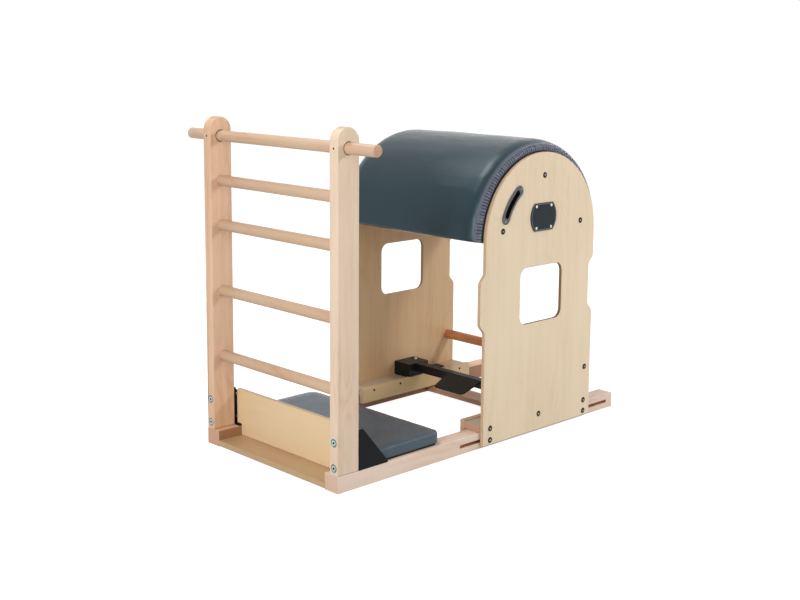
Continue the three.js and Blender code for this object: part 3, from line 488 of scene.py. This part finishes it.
def mesh_from(name, bm):
    mesh = bpy.data.meshes.new(name)
    bm.to_mesh(mesh)
    bm.free()
    return mesh


def mesh_object(name, bm, materials, angle=CREASE):
    """Turns a bmesh into an object, smooth but for the edges that turn by more than an angle."""
    bm.normal_update()
    for face in bm.faces:
        face.smooth = True
    for edge in bm.edges:
        edge.smooth = edge.calc_face_angle(math.pi) < math.radians(angle)
    piece = add_object(name, mesh_from(name, bm))
    for material in materials:
        piece.data.materials.append(finish(material))
    return piece


def settle(piece, body, nodes=()):
    """Makes a piece ride on a body, with a finish slot, and stand for the CAD nodes named."""
    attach(piece, body)
    if nodes:
        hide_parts(*nodes)
    return piece


def new_piece(name, bm, body, materials, nodes=(), angle=CREASE):
    return settle(mesh_object(name, bm, materials, angle), body, nodes)


def node_copy(node):
    """A bmesh with the shape of a CAD node, its doubled points merged."""
    bm = bmesh.new()
    bm.from_mesh(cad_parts[node].data)
    bmesh.ops.remove_doubles(bm, verts=bm.verts, dist=MERGE)
    return bm


def round_off(bm, edges, offset, segments, clamp_overlap=False):
    """Rounds edges, with each new face in its neighbours' material."""
    ways = {"profile": 0.5, "affect": "EDGES", "material": -1, "clamp_overlap": clamp_overlap}
    bmesh.ops.bevel(bm, geom=edges, offset=offset, segments=segments, **ways)


def refined(node, body, materials, edge=0.0, pick=None):
    """A finely shaded copy of a CAD node, with its sharp edges rounded where an edge is given.

    Where there are more materials, pick gives the number of the one that a face takes.
    """
    bm = node_copy(node)
    if edge:
        bmesh.ops.dissolve_limit(bm, angle_limit=math.radians(1), verts=bm.verts, edges=bm.edges)
        sharp = [e for e in bm.edges if e.is_convex and e.calc_face_angle(0) > math.radians(CREASE)]
        round_off(bm, sharp, edge, 2, clamp_overlap=True)
        low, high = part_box(node)
        for vert in bm.verts:
            vert.co = [min(max(value, least), most) for value, least, most in zip(vert.co, low, high)]
    if pick:
        bm.normal_update()
        for face in bm.faces:
            face.material_index = pick(face)
    piece = new_piece(f"{node}_finished", bm, body, materials, [node])
    flat = piece.modifiers.new("Flat faces", "WEIGHTED_NORMAL")
    flat.keep_sharp = True
    flat.weight = 80
    return piece


def rod(node, body, material, edge):
    """A smooth round rod along Y in the place of a CAD node, with rounded ends."""
    low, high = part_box(node)
    bm = bmesh.new()
    radius, depth = (high.z - low.z) / 2, high.y - low.y
    ways = {"radius1": radius, "radius2": radius, "depth": depth}
    bmesh.ops.create_cone(bm, cap_ends=True, segments=ROUND_SIDES, **ways)
    ends = [e for e in bm.edges if abs(e.verts[0].co.z - e.verts[1].co.z) < MERGE]
    round_off(bm, ends, edge, 4)
    bm.transform(Matrix.Translation((low + high) / 2) @ Matrix.Rotation(-math.pi / 2, 4, "X"))
    return new_piece(f"{node}_finished", bm, body, [material], [node])


def add_to(bm, made, at, facing):
    """Moves a small shape that was made facing +Z to its place and adds it to another bmesh."""
    turn = Vector((0, 0, 1)).rotation_difference(Vector(facing)).to_matrix().to_4x4()
    bmesh.ops.recalc_face_normals(made, faces=made.faces)
    made.transform(Matrix.Translation(at) @ turn)
    spare = mesh_from("spare", made)
    bm.from_mesh(spare)
    bpy.data.meshes.remove(spare)


def extruded(bm, edges, scale, drop):
    """Extrudes a loop of edges, scales the new loop about the Z axis and lowers it."""
    grown = bmesh.ops.extrude_edge_only(bm, edges=edges)["geom"]
    verts = [g for g in grown if isinstance(g, bmesh.types.BMVert)]
    bmesh.ops.scale(bm, verts=verts, vec=(scale, scale, 1))
    bmesh.ops.translate(bm, verts=verts, vec=(0, 0, -drop))
    return [g for g in grown if isinstance(g, bmesh.types.BMEdge)]


def ring_edges(bm, radius, sides):
    verts = bmesh.ops.create_circle(bm, segments=sides, radius=radius)["verts"]
    return list(dict.fromkeys(e for v in verts for e in v.link_edges))


def cut_off(bm, at, facing):
    """Cuts away what lies past a plane and gives the edges of the cut."""
    everything = list(bm.verts) + list(bm.edges) + list(bm.faces)
    cut = bmesh.ops.bisect_plane(bm, geom=everything, plane_co=at, plane_no=facing, clear_outer=True)
    return [g for g in cut["geom_cut"] if isinstance(g, bmesh.types.BMEdge)]


# A bolt head's socket has a chamfered mouth and ends short of the head's foot, as shares of the
# socket's radius and the head's depth. Its rim falls in a flat cone and then straight down, as
# shares of the rim's width.
MOUTH_SCALE, MOUTH_SHARE, SOCKET_SHARE = 0.94, 0.1, 0.55
CONE_GROWTH, CONE_DROP, RIM_FOOT = 0.35, 0.4, 0.65


def socket_head(bm, radius, rim, depth, socket, at, facing):
    """Adds a bolt head that faces along a direction, with a hexagon socket.

    The face takes the first material, the rim the second and the inside of the socket the third.
    """
    sides = sizes().bolt_sides
    made = bmesh.new()
    inner = ring_edges(made, socket, 6)
    bmesh.ops.subdivide_edges(made, edges=inner, cuts=sides // 6 - 1)
    inner = list(made.edges)
    outer = ring_edges(made, radius - rim, sides)
    bmesh.ops.bridge_loops(made, edges=inner + outer)
    face_end = len(made.faces)
    mouth = extruded(made, inner, MOUTH_SCALE, socket * MOUTH_SHARE)
    bmesh.ops.contextual_create(made, geom=extruded(made, mouth, 1.0, depth * SOCKET_SHARE))
    socket_end = len(made.faces)
    edges = extruded(made, outer, 1 + rim * CONE_GROWTH / radius, rim * CONE_DROP)
    edges = extruded(made, edges, radius / (radius - rim * RIM_FOOT), 0.0)
    bmesh.ops.contextual_create(made, geom=extruded(made, edges, 1.0, depth))
    for number, face in enumerate(made.faces):
        face.material_index = 0 if number < face_end else 2 if number < socket_end else 1
    add_to(bm, made, at, facing)


def small_screw(bm, radius, depth, at, facing, opening=0.4):
    """Adds a small screw whose socket is opening times as wide as its head."""
    socket_head(bm, radius, radius * 0.3, depth, radius * opening, at, facing)


def washer(bm, inner, outer, height, at, facing):
    """Adds a flat ring that stands on a surface."""
    made = bmesh.new()
    foot = ring_edges(made, outer, ROUND_SIDES)
    edges = extruded(made, foot, 1.0, -height)
    edges = extruded(made, edges, inner / outer, 0.0)
    edges = extruded(made, edges, 1.0, height)
    bmesh.ops.bridge_loops(made, edges=foot + edges)
    add_to(bm, made, at, facing)


# Operators

STEPS = []


def step(label):
    """Makes an operator with this label of a function that builds pieces from the scene's sizes."""

    def make(build):
        def execute(self, context):
            build(sizes())
            return {"FINISHED"}

        name = build.__name__
        parts = {"bl_idname": f"ladderbarrel.{name}", "bl_label": label, "execute": execute}
        parts["__doc__"] = build.__doc__
        STEPS.append(type(f"LADDERBARREL_OT_{name}", (bpy.types.Operator,), parts))
        return build

    return make


# Studio

CAMERA_PLACE = (-2.8999, -2.9097, 1.2951)
CAMERA_AZIMUTH, CAMERA_ELEVATION, CAMERA_ROLL = (math.radians(a) for a in (-43.878, 8.547, 0.412))
CAMERA_LENS = 55.743
CAMERA_SHIFT_Y = -0.09
FLOOR_SIZE = 30
FLOOR_GLOW = 0.88
SKY_LIGHT = 0.40

# Each lamp's place, aim, width, height and power in watts
BARREL_AIM = (0, 0, 0.5)
LAMPS = {
    "left": ((-3.8, -1.2, 1.4), BARREL_AIM, 0.7, 1.7, 64.0),
    "left high": ((-2.9, -1.6, 3.0), BARREL_AIM, 0.6, 0.6, 18.0),
    "front": ((1.9, -3.5, 2.1), BARREL_AIM, 0.6, 0.6, 48.0),
    "right": ((4.0, -1.4, 1.9), BARREL_AIM, 1.2, 1.2, 30.0),
    "right high": ((2.9, -0.8, 3.3), BARREL_AIM, 0.4, 0.4, 22.0),
    "strip": ((-0.55, 1.1, 3.4), (-0.55, -0.3, 0.9), 1.2, 0.06, 36.0),
}


@step("Studio")
def studio(_):
    """Set the camera, the floor and the soft studio light"""
    place_camera()
    lay_floor()
    light_studio()


def place_camera():
    data = bpy.data.cameras.new("camera")
    data.lens = CAMERA_LENS
    data.sensor_width = 36
    data.shift_y = CAMERA_SHIFT_Y
    data.clip_end = 60
    camera = add_object("camera", data)
    aim = Matrix.Rotation(CAMERA_AZIMUTH, 4, "Z") @ Matrix.Rotation(math.pi / 2 - CAMERA_ELEVATION, 4, "X")
    camera.matrix_world = Matrix.Translation(CAMERA_PLACE) @ aim @ Matrix.Rotation(CAMERA_ROLL, 4, "Z")
    bpy.context.scene.camera = camera


def seen_directly(tree):
    """A mask of the rays that see a surface, straight or in a gloss, and not of those that light it."""
    rays = tree.nodes.new("ShaderNodeLightPath").outputs
    seen = calc(tree, "MAXIMUM", rays["Is Camera Ray"], rays["Is Glossy Ray"])
    return calc(tree, "MAXIMUM", seen, rays["Is Transmission Ray"])


def lay_floor():
    """A wide floor whose lit parts show white and which keeps the object's shadow."""
    bm = bmesh.new()
    bmesh.ops.create_grid(bm, x_segments=1, y_segments=1, size=FLOOR_SIZE)
    floor = add_object("floor", mesh_from("floor", bm))
    made, tree, shader = new_material("floor")
    looks = {
        "Base Color": (0.5, 0.5, 0.5),
        "Roughness": 0.9,
        SPECULAR: 0.0,
        "Emission Color": (1, 1, 1),
        "Emission Strength": times(tree, seen_directly(tree), FLOOR_GLOW),
    }
    fill(tree, shader, looks)
    floor.data.materials.append(made)


def light_studio():
    scene = bpy.context.scene
    scene.view_settings.view_transform = "Standard"
    world = bpy.data.worlds.new("studio")
    scene.world = world
    world.use_nodes = True
    tree = world.node_tree
    strength = ramp(tree, seen_directly(tree), 0.0, 1.0, SKY_LIGHT, 1.0)
    fill(tree, tree.nodes["Background"], {"Color": (1, 1, 1), "Strength": strength})
    for name, (at, target, width, height, power) in LAMPS.items():
        data = bpy.data.lights.new(name, "AREA")
        data.shape = "RECTANGLE"
        data.size, data.size_y = width, height
        data.energy = power
        aim = (Vector(at) - Vector(target)).to_track_quat("Z", "Y")
        add_object(name, data).matrix_world = Matrix.Translation(at) @ aim.to_matrix().to_4x4()


# Wooden ladder and base

# |Y| of the plane between a rail's inner face and its slots, and of one just inside its outer face
RAIL_MIDDLE, RAIL_SKIN = 0.2925, 0.3215
SLOT_FOOT, SLOT_TOP = 0.012, 0.040
RAIL_END = 0.652
SET_SCREW_SINK, SET_SCREW_DEPTH = 0.0012, 0.0016
GAP_HEIGHT = 0.0001


def rail_part(face):
    """1 for the walls of a rail's guide slots, 2 for its inner face, or 0."""
    middle = face.calc_center_median()
    if abs(middle.y) < RAIL_MIDDLE and abs(face.normal.y) > 0.9:
        return 2
    across = RAIL_MIDDLE < abs(middle.y) < RAIL_SKIN
    return int(across and SLOT_FOOT < middle.z < SLOT_TOP and abs(middle.x) < RAIL_END)


@step("Ladder and Base")
def ladder(s):
    """Finish the rails, the uprights and the boards between them"""
    for side in SIDES:
        # The guide slots' walls and the rails' inner faces take darker tones as painted shade
        rail = [f"beech {side} rail", "slot shadow", f"shaded {side} rail"]
        refined(f"rail_{side}", "base", rail, s.wood_edge, rail_part)
        refined(f"upright_{side}", "base", [f"beech {side} upright"], s.wood_edge)
    refined("front_cross_board", "base", ["beech boards"], s.wood_edge)
    refined("rear_cross_board", "base", ["beech rear board"], s.wood_edge)
    refined("kick_board", "base", ["kick board plywood"], s.wood_edge)


@step("Rungs")
def rungs(s):
    """Turn the rungs, with the gaps and the set screws of the top one"""
    rod("top_rung", "base", "beech rungs", s.rod_edge)
    for node in ("rung_2", "rung_3", "rung_4", "rung_5"):
        rod(node, "base", "beech rungs", HIDDEN_EDGE)
    low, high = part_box("top_rung")
    centre, radius = (low + high) / 2, (high.z - low.z) / 2
    gap_shade_rings = bmesh.new()
    screws = bmesh.new()
    for side in SIDES:
        post_low, post_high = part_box(f"upright_{side}")
        for y, way in ((post_low.y, -1), (post_high.y, 1)):
            # A thin dark ring on each face of an upright round the top rung: painted shade of the gap
            washer(gap_shade_rings, radius, radius + s.rung_gap, GAP_HEIGHT, (centre.x, y, centre.z), (0, way, 0))
        at = (post_low.x + SET_SCREW_SINK, (post_low.y + post_high.y) / 2, centre.z)
        small_screw(screws, s.set_screw, SET_SCREW_DEPTH, at, (-1, 0, 0), 0.45)
    new_piece("top_rung_gap_shade", gap_shade_rings, "base", ["gap shadow"])
    new_piece("set_screws", screws, "base", ["slot black"] * 3, angle=HEAD_CREASE)


@step("Corner Brackets")
def brackets(s):
    """Coat the corner brackets and round their edges"""
    for side in SIDES:
        refined(f"bracket_{side}", "base", ["black steel"], s.steel_edge)


# Sliding barrel

# The window's middle lies this far below the arch's, and its edges within this reach of it
WINDOW_DROP = 0.1935
WINDOW_REACH = 0.12

# Places of the saddle strips' screws along a strip, below its top and proud of its face
STRIP_PLACES = (-0.221, -0.092, 0.092, 0.221)
STRIP_DROP = 0.013
STRIP_PROUD, STRIP_SCREW_DEPTH = 0.0009, 0.0008


def barrel_centre():
    """The middle of the arch that the panels, the drum and the cushion share."""
    low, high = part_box("drum_skin")
    return Vector(((low.x + high.x) / 2, 0, low.z))


def panel_part(face):
    """1 for the inner face of a panel, 2 for the cut edge of its window, or 0."""
    away = face.calc_center_median() - barrel_centre()
    if face.normal.y * away.y < -0.7 * abs(away.y):
        return 1
    in_window = abs(away.x) < WINDOW_REACH and abs(away.z + WINDOW_DROP) < WINDOW_REACH
    return 2 * int(in_window and abs(face.normal.y) < 0.5)


@step("Panels and Saddles")
def carriage(s):
    """Finish the panels, the drum, the saddles and the rear dowel, and screw the saddle strips on"""
    screws = bmesh.new()
    for side, sign in SIDES.items():
        # The inner faces and the window edges take darker tones as painted shade
        panel = ["panel plywood", "panel inside", "shaded window edge"]
        refined(f"side_panel_{side}", "barrel", panel, s.wood_edge, panel_part)
        refined(f"drum_former_{side}", "barrel", ["former plywood"])
        refined(f"saddle_block_{side}", "barrel", ["beech saddles"], s.wood_edge)
        refined(f"saddle_strip_{side}", "barrel", ["strip plywood"], s.wood_edge)
        low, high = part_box(f"saddle_strip_{side}")
        inner = min(low.y, high.y, key=abs) - sign * STRIP_PROUD
        for place in STRIP_PLACES:
            at = ((low.x + high.x) / 2 + place, inner, high.z - STRIP_DROP)
            small_screw(screws, s.strip_screw, STRIP_SCREW_DEPTH, at, (0, -sign, 0))
    new_piece("strip_screws", screws, "barrel", ["slot black"] * 3, angle=HEAD_CREASE)
    refined("drum_skin", "barrel", ["skin plywood"])
    rod("rear_dowel", "barrel", "dowel wood", HIDDEN_EDGE)


# The cushion lies this far off the drum, and its crown falls this far from its middle to its ends
CUSHION_GAP = 0.0003
CROWN_FALL = 0.002
CROWN_STEPS, ROLL_STEPS, BEAD_STEPS, PLEAT_STEPS = 8, 16, 12, 6

# The roll ends at this slope, in a seam that steps down and in. The bead below it starts this much
# lower, turns through these degrees and ends in a step. The chamfer is at the cushion's foot.
STEEPEST = math.radians(62)
SEAM_DOWN, SEAM_IN = 0.0016, 0.0010
BEAD_DROP, BEAD_START, BEAD_TURN = 0.0009, 92, 152
BEAD_DOWN, BEAD_IN = 0.0012, 0.0016
CHAMFER, CHAMFER_TOP, CHAMFER_FOOT = 0.001, 0.0004, 0.0008
# Faces near the ends that lie about this many bead half-heights below the rolled-down end take a dark vinyl
# as painted shade
SEAM_SHADE_SHARE = 1.95

# Height of the vinyl's waves, how far from the ends they fade, the depth that they start at, and the
# share, the pitches and the seed of each noise in them
WAVE_HEIGHT, WAVE_FADE, WAVE_START = 0.0011, 0.03, 0.1
WAVES = ((1.0, 4.0, 9.0, 0.3), (0.5, 11.0, 21.0, 5.3))

# The gathers: the depth that they start at, how fast they grow towards the ends, how far they stray,
# their strength and how it varies, how sharp they are, and their share of the depth either way
FOLD_START, FOLD_GROWTH, FOLD_STRAY = 0.2, 1.6, 1.6
FOLD_STRENGTH, FOLD_VARIES = 0.75, 0.6
FOLD_POWER, FOLD_SHARE = 1.6, 0.7

# The cushion's lower edges: how far they lie off the drum's foot, rise at the drum and fall outside
TIP_LIFT, TIP_RISE, TIP_FALL = 0.004, 0.002, 0.5


@step("Barrel Cushion")
def barrel_cushion(s):
    """Upholster the barrel: a taut cushion, rolled down at its ends to a gathered seam"""
    centre = barrel_centre()
    low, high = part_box("barrel_cushion")
    outer = high.z - centre.z
    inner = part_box("drum_skin")[1].z - centre.z + CUSHION_GAP
    pleats = round(math.pi * (outer - s.end_drop) / s.gather_pitch)
    bm = bmesh.new()
    verts = [bm.verts.new((radius, y, 0)) for radius, y in cushion_profile(inner, outer, high.y, s)]
    geom = verts + [bm.edges.new((a, b)) for a, b in zip(verts, verts[1:] + verts[:1])]
    steps = pleats * PLEAT_STEPS
    bmesh.ops.spin(bm, geom=geom, axis=(0, -1, 0), cent=(0, 0, 0), angle=math.pi, steps=steps)
    bmesh.ops.holes_fill(bm, edges=[e for e in bm.edges if e.is_boundary])
    bmesh.ops.recalc_face_normals(bm, faces=bm.faces)
    # The faces under the bead take the dark vinyl as painted shade
    bead_foot = outer - CROWN_FALL - s.end_drop - SEAM_SHADE_SHARE * s.bead_height
    for face in bm.faces:
        middle = face.calc_center_median()
        seam_shaded = abs(middle.y) > high.y - 2 * s.bead and math.hypot(middle.x, middle.z) < bead_foot
        face.material_index = int(seam_shaded)
    gather = bm.verts.layers.float.new(GATHER)
    for vert in bm.verts:
        vert.co, vert[gather] = upholstered(vert.co, inner, outer, high.y, pleats, s)
    bm.transform(Matrix.Translation(centre))
    vinyls = ["barrel vinyl", "seam shade"]
    nodes = ["barrel_cushion"]
    cushion = new_piece("barrel_upholstery", bm, "barrel", vinyls, nodes, CUSHION_CREASE)


def cushion_profile(inner, outer, end, s):
    """The cushion's closed section as (radius, y) points: a crown, two rolls and a bead at either end."""
    start = end - s.end_roll
    reach = s.end_roll - s.bead
    half = []
    for step in range(CROWN_STEPS + 1):
        y = start * step / CROWN_STEPS
        half.append((outer - CROWN_FALL * (y / end) ** 2, y))
    shoulder = half[-1][0]
    for step in range(1, ROLL_STEPS + 1):
        turn = STEEPEST * step / ROLL_STEPS
        fall = s.end_drop * (1 - math.cos(turn)) / (1 - math.cos(STEEPEST))
        half.append((shoulder - fall, start + reach * math.sin(turn) / math.sin(STEEPEST)))
    foot, y = half[-1]
    half.append((foot - SEAM_DOWN, y - SEAM_IN))
    middle = foot - BEAD_DROP - s.bead_height
    for step in range(BEAD_STEPS + 1):
        turn = math.radians(BEAD_START - BEAD_TURN * step / BEAD_STEPS)
        half.append((middle + s.bead_height * math.sin(turn), end - s.bead + s.bead * math.cos(turn)))
    half.append((half[-1][0] - BEAD_DOWN, half[-1][1] - BEAD_IN))
    half += [(inner + CHAMFER, end - CHAMFER_TOP), (inner, end - CHAMFER_FOOT)]
    mirrored = [(radius, -y) for radius, y in reversed(half)]
    return mirrored[:-1] + half


def upholstered(point, inner, outer, end, pleats, s):
    """Where a point of the plain cushion lies in the gathered vinyl, and how deep in a crease."""
    radius = math.hypot(point.x, point.z)
    angle = math.atan2(max(point.z, 0.0), point.x)
    depth = (radius - inner) / (outer - inner)
    from_end = end - abs(point.y)
    along = min(angle, math.pi - angle) * outer
    y = point.y
    fold = 0.0
    if depth > WAVE_START:
        wave = sum(share * noise_at(Vector((angle * a, y * b, seed))) for share, a, b, seed in WAVES)
        radius += WAVE_HEIGHT * wave * min(from_end / WAVE_FADE, 1.0)
    if depth > FOLD_START and from_end < s.gather_reach:
        share = min(FOLD_GROWTH * (1 - from_end / s.gather_reach), 1.0)
        stray = FOLD_STRAY * noise_at(Vector((angle * 23.0, math.copysign(3.0, y), 0)))
        varied = FOLD_VARIES * noise_at(Vector((angle * 57.0, math.copysign(7.0, y), 2.0)))
        fold = (0.5 + 0.5 * math.cos(2 * pleats * angle + stray)) ** FOLD_POWER
        fold *= (FOLD_STRENGTH + varied) * share
        radius -= fold * s.gather_depth * FOLD_SHARE
        y -= math.copysign(fold * s.gather_depth * FOLD_SHARE, y)
    if along < s.tip_roll:
        fall = 1 - math.sqrt(max(0.0, 1 - (1 - along / s.tip_roll) ** 2))
        radius -= depth * (radius - inner) * fall * TIP_FALL
        radius += (1 - depth) * TIP_RISE * fall
    quarter = math.pi / 2
    angle = quarter + (angle - quarter) * (1 - TIP_LIFT / outer / quarter)
    return Vector((radius * math.cos(angle), y, radius * math.sin(angle))), fold


# Pitch and height of the waves of the foot pad's top, and the steps that feel out its slope
PAD_VOXEL = 0.004
PAD_CORNER_STEPS = 12
PAD_WAVES = ((14.0, 0.0005), (45.0, 0.0004))
PROBE = 0.0002
PROBES = [Vector((PROBE, 0, 0)), Vector((0, PROBE, 0)), Vector((0, 0, PROBE))]


def pad_gap(point, low, high, s):
    """How far a point lies outside the pad, a rounded block with a top that falls to its edges."""
    middle, half = (low + high) / 2, (high - low) / 2
    across = Vector((abs(point.x - middle.x) - half.x, abs(point.y - middle.y) - half.y))
    across += Vector((1, 1)) * s.pad_corner
    from_side = min(max(across), 0) + Vector((max(across.x, 0), max(across.y, 0))).length - s.pad_corner
    inward = min(max(-from_side / s.pad_reach, 0.0), 1.0)
    fall = s.pad_fall * (1 - inward) ** 2 + PAD_WAVES[0][1]
    for pitch, height in PAD_WAVES:
        fall += height * noise_at(point * pitch)
    from_top = point.z - (high.z - fall) + s.pad_edge
    beyond = Vector((max(from_side + s.pad_edge, 0), max(from_top, 0))).length - s.pad_edge
    return max(min(max(from_side, from_top - s.pad_edge), 0) + max(beyond, -s.pad_edge), low.z - point.z)


def sculpt(piece, voxel, gap):
    """Turns a cut block into an even mesh and draws each point onto the surface where a gap is zero."""
    remesh = piece.modifiers.new("Even mesh", "REMESH")
    remesh.mode = "VOXEL"
    remesh.voxel_size = voxel
    held = piece.evaluated_get(bpy.context.evaluated_depsgraph_get())
    piece.data = bpy.data.meshes.new_from_object(held)
    piece.modifiers.clear()
    for face in piece.data.polygons:
        face.use_smooth = True
    for vert in piece.data.vertices:
        for _ in range(4):
            here = gap(vert.co)
            slope = Vector([gap(vert.co + probe) - here for probe in PROBES])
            if slope.length > 0:
                vert.co -= slope.normalized() * here


@step("Foot Pad")
def foot_pad(s):
    """Upholster the foot pad and finish the black board under it"""
    refined("foot_pad_board", "base", ["black board"])
    low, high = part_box("foot_pad_cushion")
    bm = bmesh.new()
    bmesh.ops.create_cube(bm, size=1)
    bmesh.ops.scale(bm, verts=bm.verts, vec=high - low)
    upright = [e for e in bm.edges if abs(e.verts[0].co.z - e.verts[1].co.z) > MERGE]
    round_off(bm, upright, s.pad_corner, PAD_CORNER_STEPS)
    bm.transform(Matrix.Translation((low + high) / 2))
    pad = mesh_object("foot_pad_upholstery", bm, ["pad vinyl"])
    sculpt(pad, PAD_VOXEL, lambda point: pad_gap(point, low, high, s))
    settle(pad, "base", ["foot_pad_cushion"])


# Fittings

# The handle slot's middle line lies on this radius about the arch's middle, with its own middle
# and the bezel's screws at these angles
HANDLE_RADIUS = 0.199
HANDLE_MIDDLE = math.radians(143.5)
HANDLE_SCREWS = [math.radians(125.4), math.radians(161.6)]
BEZEL_PROUD, BEZEL_SCREW_DEPTH = 0.0007, 0.0006

# Rim, depth and socket radius of the bolt heads, and the share of the depth that replaces the CAD's
LADDER_HEAD = (0.0038, 0.0065, 0.0044)
PANEL_HEAD = (0.0037, 0.0045, 0.0032)
HEAD_SHARE = 0.96

# Width, height and lift of the line on the badge, and the places of the badge's screws
LINE_WIDTH, LINE_HEIGHT, LINE_LIFT = 0.0010, 0.00015, 0.0001
BADGE_ACROSS, BADGE_UP = 0.037, 0.0355
BADGE_PROUD, BADGE_SCREW_DEPTH = 0.0008, 0.0007


@step("Handle Slots")
def handle_slots(s):
    """Finish the bezels of the handle slots and screw them on"""
    centre = barrel_centre()

    def inside(face):
        """Tells the walls of the opening, which face its middle line, from the outer rim."""
        away = face.calc_center_median() - centre
        angle = math.atan2(away.z, away.x)
        out = Vector((math.cos(angle), 0, math.sin(angle)))
        along = Vector((-math.sin(angle), 0, math.cos(angle)))
        radial = (math.hypot(away.x, away.z) - HANDLE_RADIUS) * face.normal.dot(out)
        turned = HANDLE_RADIUS * (angle - HANDLE_MIDDLE) * face.normal.dot(along)
        return int(abs(face.normal.y) < 0.5 and radial + turned < 0)

    screws = bmesh.new()
    for side, sign in SIDES.items():
        node = f"handle_bezel_{side}"
        # The walls of the opening are black as painted shade
        refined(node, "barrel", ["bezel plastic", "slot black"], pick=inside)
        face_y = max(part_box(node)[0].y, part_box(node)[1].y, key=abs) + sign * BEZEL_PROUD
        for angle in HANDLE_SCREWS:
            reach = Vector((math.cos(angle), 0, math.sin(angle))) * HANDLE_RADIUS
            at = Vector((0, face_y, 0)) + centre + reach
            small_screw(screws, s.bezel_screw, BEZEL_SCREW_DEPTH, at, (0, sign, 0))
    # The bezel screws' sockets are dark as painted shade
    materials = ["bright steel", "bezel plastic", "socket shade"]
    new_piece("bezel_screws", screws, "barrel", materials, angle=HEAD_CREASE)


@step("Bolts")
def bolts(s):
    """Give the bolts of the ladder and of the panels round heads with sockets"""
    for node in sorted(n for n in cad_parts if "_bolt_" in n):
        low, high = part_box(node)
        at = (low + high) / 2
        if node.startswith("ladder_bolt"):
            at.x = low.x
            rim, depth, socket = LADDER_HEAD
            # The ladder bolts' sockets are dark as painted shade
            body, facing, materials = "base", (-1, 0, 0), ["pale zinc", "blue zinc", "socket shade"]
        else:
            at.y = low.y if at.y < 0 else high.y
            rim, depth, socket = PANEL_HEAD
            body, facing = "barrel", (0, math.copysign(1, at.y), 0)
            # Dark faces and black rims as painted shade of the counterbores, bright sockets as a painted
            # highlight
            materials = ["steel shade", "socket shade", "bright steel"]
        bm = node_copy(node)
        edges = cut_off(bm, at - Vector(facing) * depth * HEAD_SHARE, facing)
        bmesh.ops.contextual_create(bm, geom=edges)
        socket_head(bm, (high.z - low.z) / 2, rim, depth, socket, at, facing)
        new_piece(f"{node}_finished", bm, body, materials, [node], HEAD_CREASE)


@step("Foot Lock")
def lock(s):
    """Coat the lock housings, the cross bar and its pedal"""
    for side in SIDES:
        refined(f"lock_housing_{side}", "barrel", ["lock steel"], s.steel_edge)
        refined(f"bar_end_{side}", "pedal", ["lock steel"])
        refined(f"lock_plunger_{side}", f"plunger_{side}", ["bright steel"])
    refined("pedal_bar", "pedal", ["lock steel"], s.steel_edge)


@step("Badge")
def badge(s):
    """Enamel the bare badge plate, engrave a plain line along its edge and set its four screws"""
    refined("badge_plate", "barrel", ["badge enamel"])
    low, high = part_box("badge_plate")
    centre = Vector(((low.x + high.x) / 2, low.y, (low.z + high.z) / 2))
    radius, flat = (high.x - low.x) / 2 - s.badge_border, (high.z - low.z) / 2 - s.badge_border
    line = bmesh.new()
    bmesh.ops.create_circle(line, cap_ends=True, segments=2 * ROUND_SIDES, radius=radius)
    for sign in (-1, 1):
        cut_off(line, Vector((0, sign * flat, 0)), (0, sign, 0))
    inner = list(line.faces)
    bmesh.ops.inset_individual(line, faces=inner, thickness=LINE_WIDTH, use_even_offset=True)
    bmesh.ops.delete(line, geom=inner, context="FACES")
    bmesh.ops.solidify(line, geom=list(line.faces), thickness=LINE_HEIGHT)
    bmesh.ops.recalc_face_normals(line, faces=line.faces)
    line.transform(Matrix.Rotation(math.pi / 2, 4, "X") @ Matrix.Translation((0, 0, LINE_LIFT)))
    line.transform(Matrix.Translation(centre))
    new_piece("badge_line", line, "barrel", ["badge engraving"])
    screws = bmesh.new()
    for across in (-BADGE_ACROSS, BADGE_ACROSS):
        for up in (-BADGE_UP, BADGE_UP):
            at = centre + Vector((across, -BADGE_PROUD, up))
            small_screw(screws, s.badge_screw, BADGE_SCREW_DEPTH, at, (0, -1, 0), 0.35)
    # The badge screws' sockets are dark as painted shade
    materials = ["bright steel", "bright steel", "steel shade"]
    new_piece("badge_screws", screws, "barrel", materials, angle=HEAD_CREASE)


# Panel and registration


class LADDERBARREL_PT_sidebar(bpy.types.Panel):
    """Lists the steps that dress the ladder barrel"""

    bl_label = "Ladder Barrel"
    bl_idname = "LADDERBARREL_PT_sidebar"
    bl_space_type = "VIEW_3D"
    bl_region_type = "UI"
    bl_category = "Ladder Barrel"

    def draw(self, context):
        for made in STEPS:
            self.layout.operator(made.bl_idname)


CLASSES = (LadderBarrelSizes, LadderBarrelColours, *STEPS, LADDERBARREL_PT_sidebar)


def register():
    for made in CLASSES:
        bpy.utils.register_class(made)
    bpy.types.Scene.ladder_barrel_sizes = PointerProperty(type=LadderBarrelSizes)
    bpy.types.Scene.ladder_barrel_colours = PointerProperty(type=LadderBarrelColours)


def unregister():
    del bpy.types.Scene.ladder_barrel_colours
    del bpy.types.Scene.ladder_barrel_sizes
    for made in reversed(CLASSES):
        bpy.utils.unregister_class(made)


def main():
    register()
    for made in STEPS:
        getattr(bpy.ops.ladderbarrel, made.bl_idname.split(".")[1])()


if __name__ == "__main__":
    main()
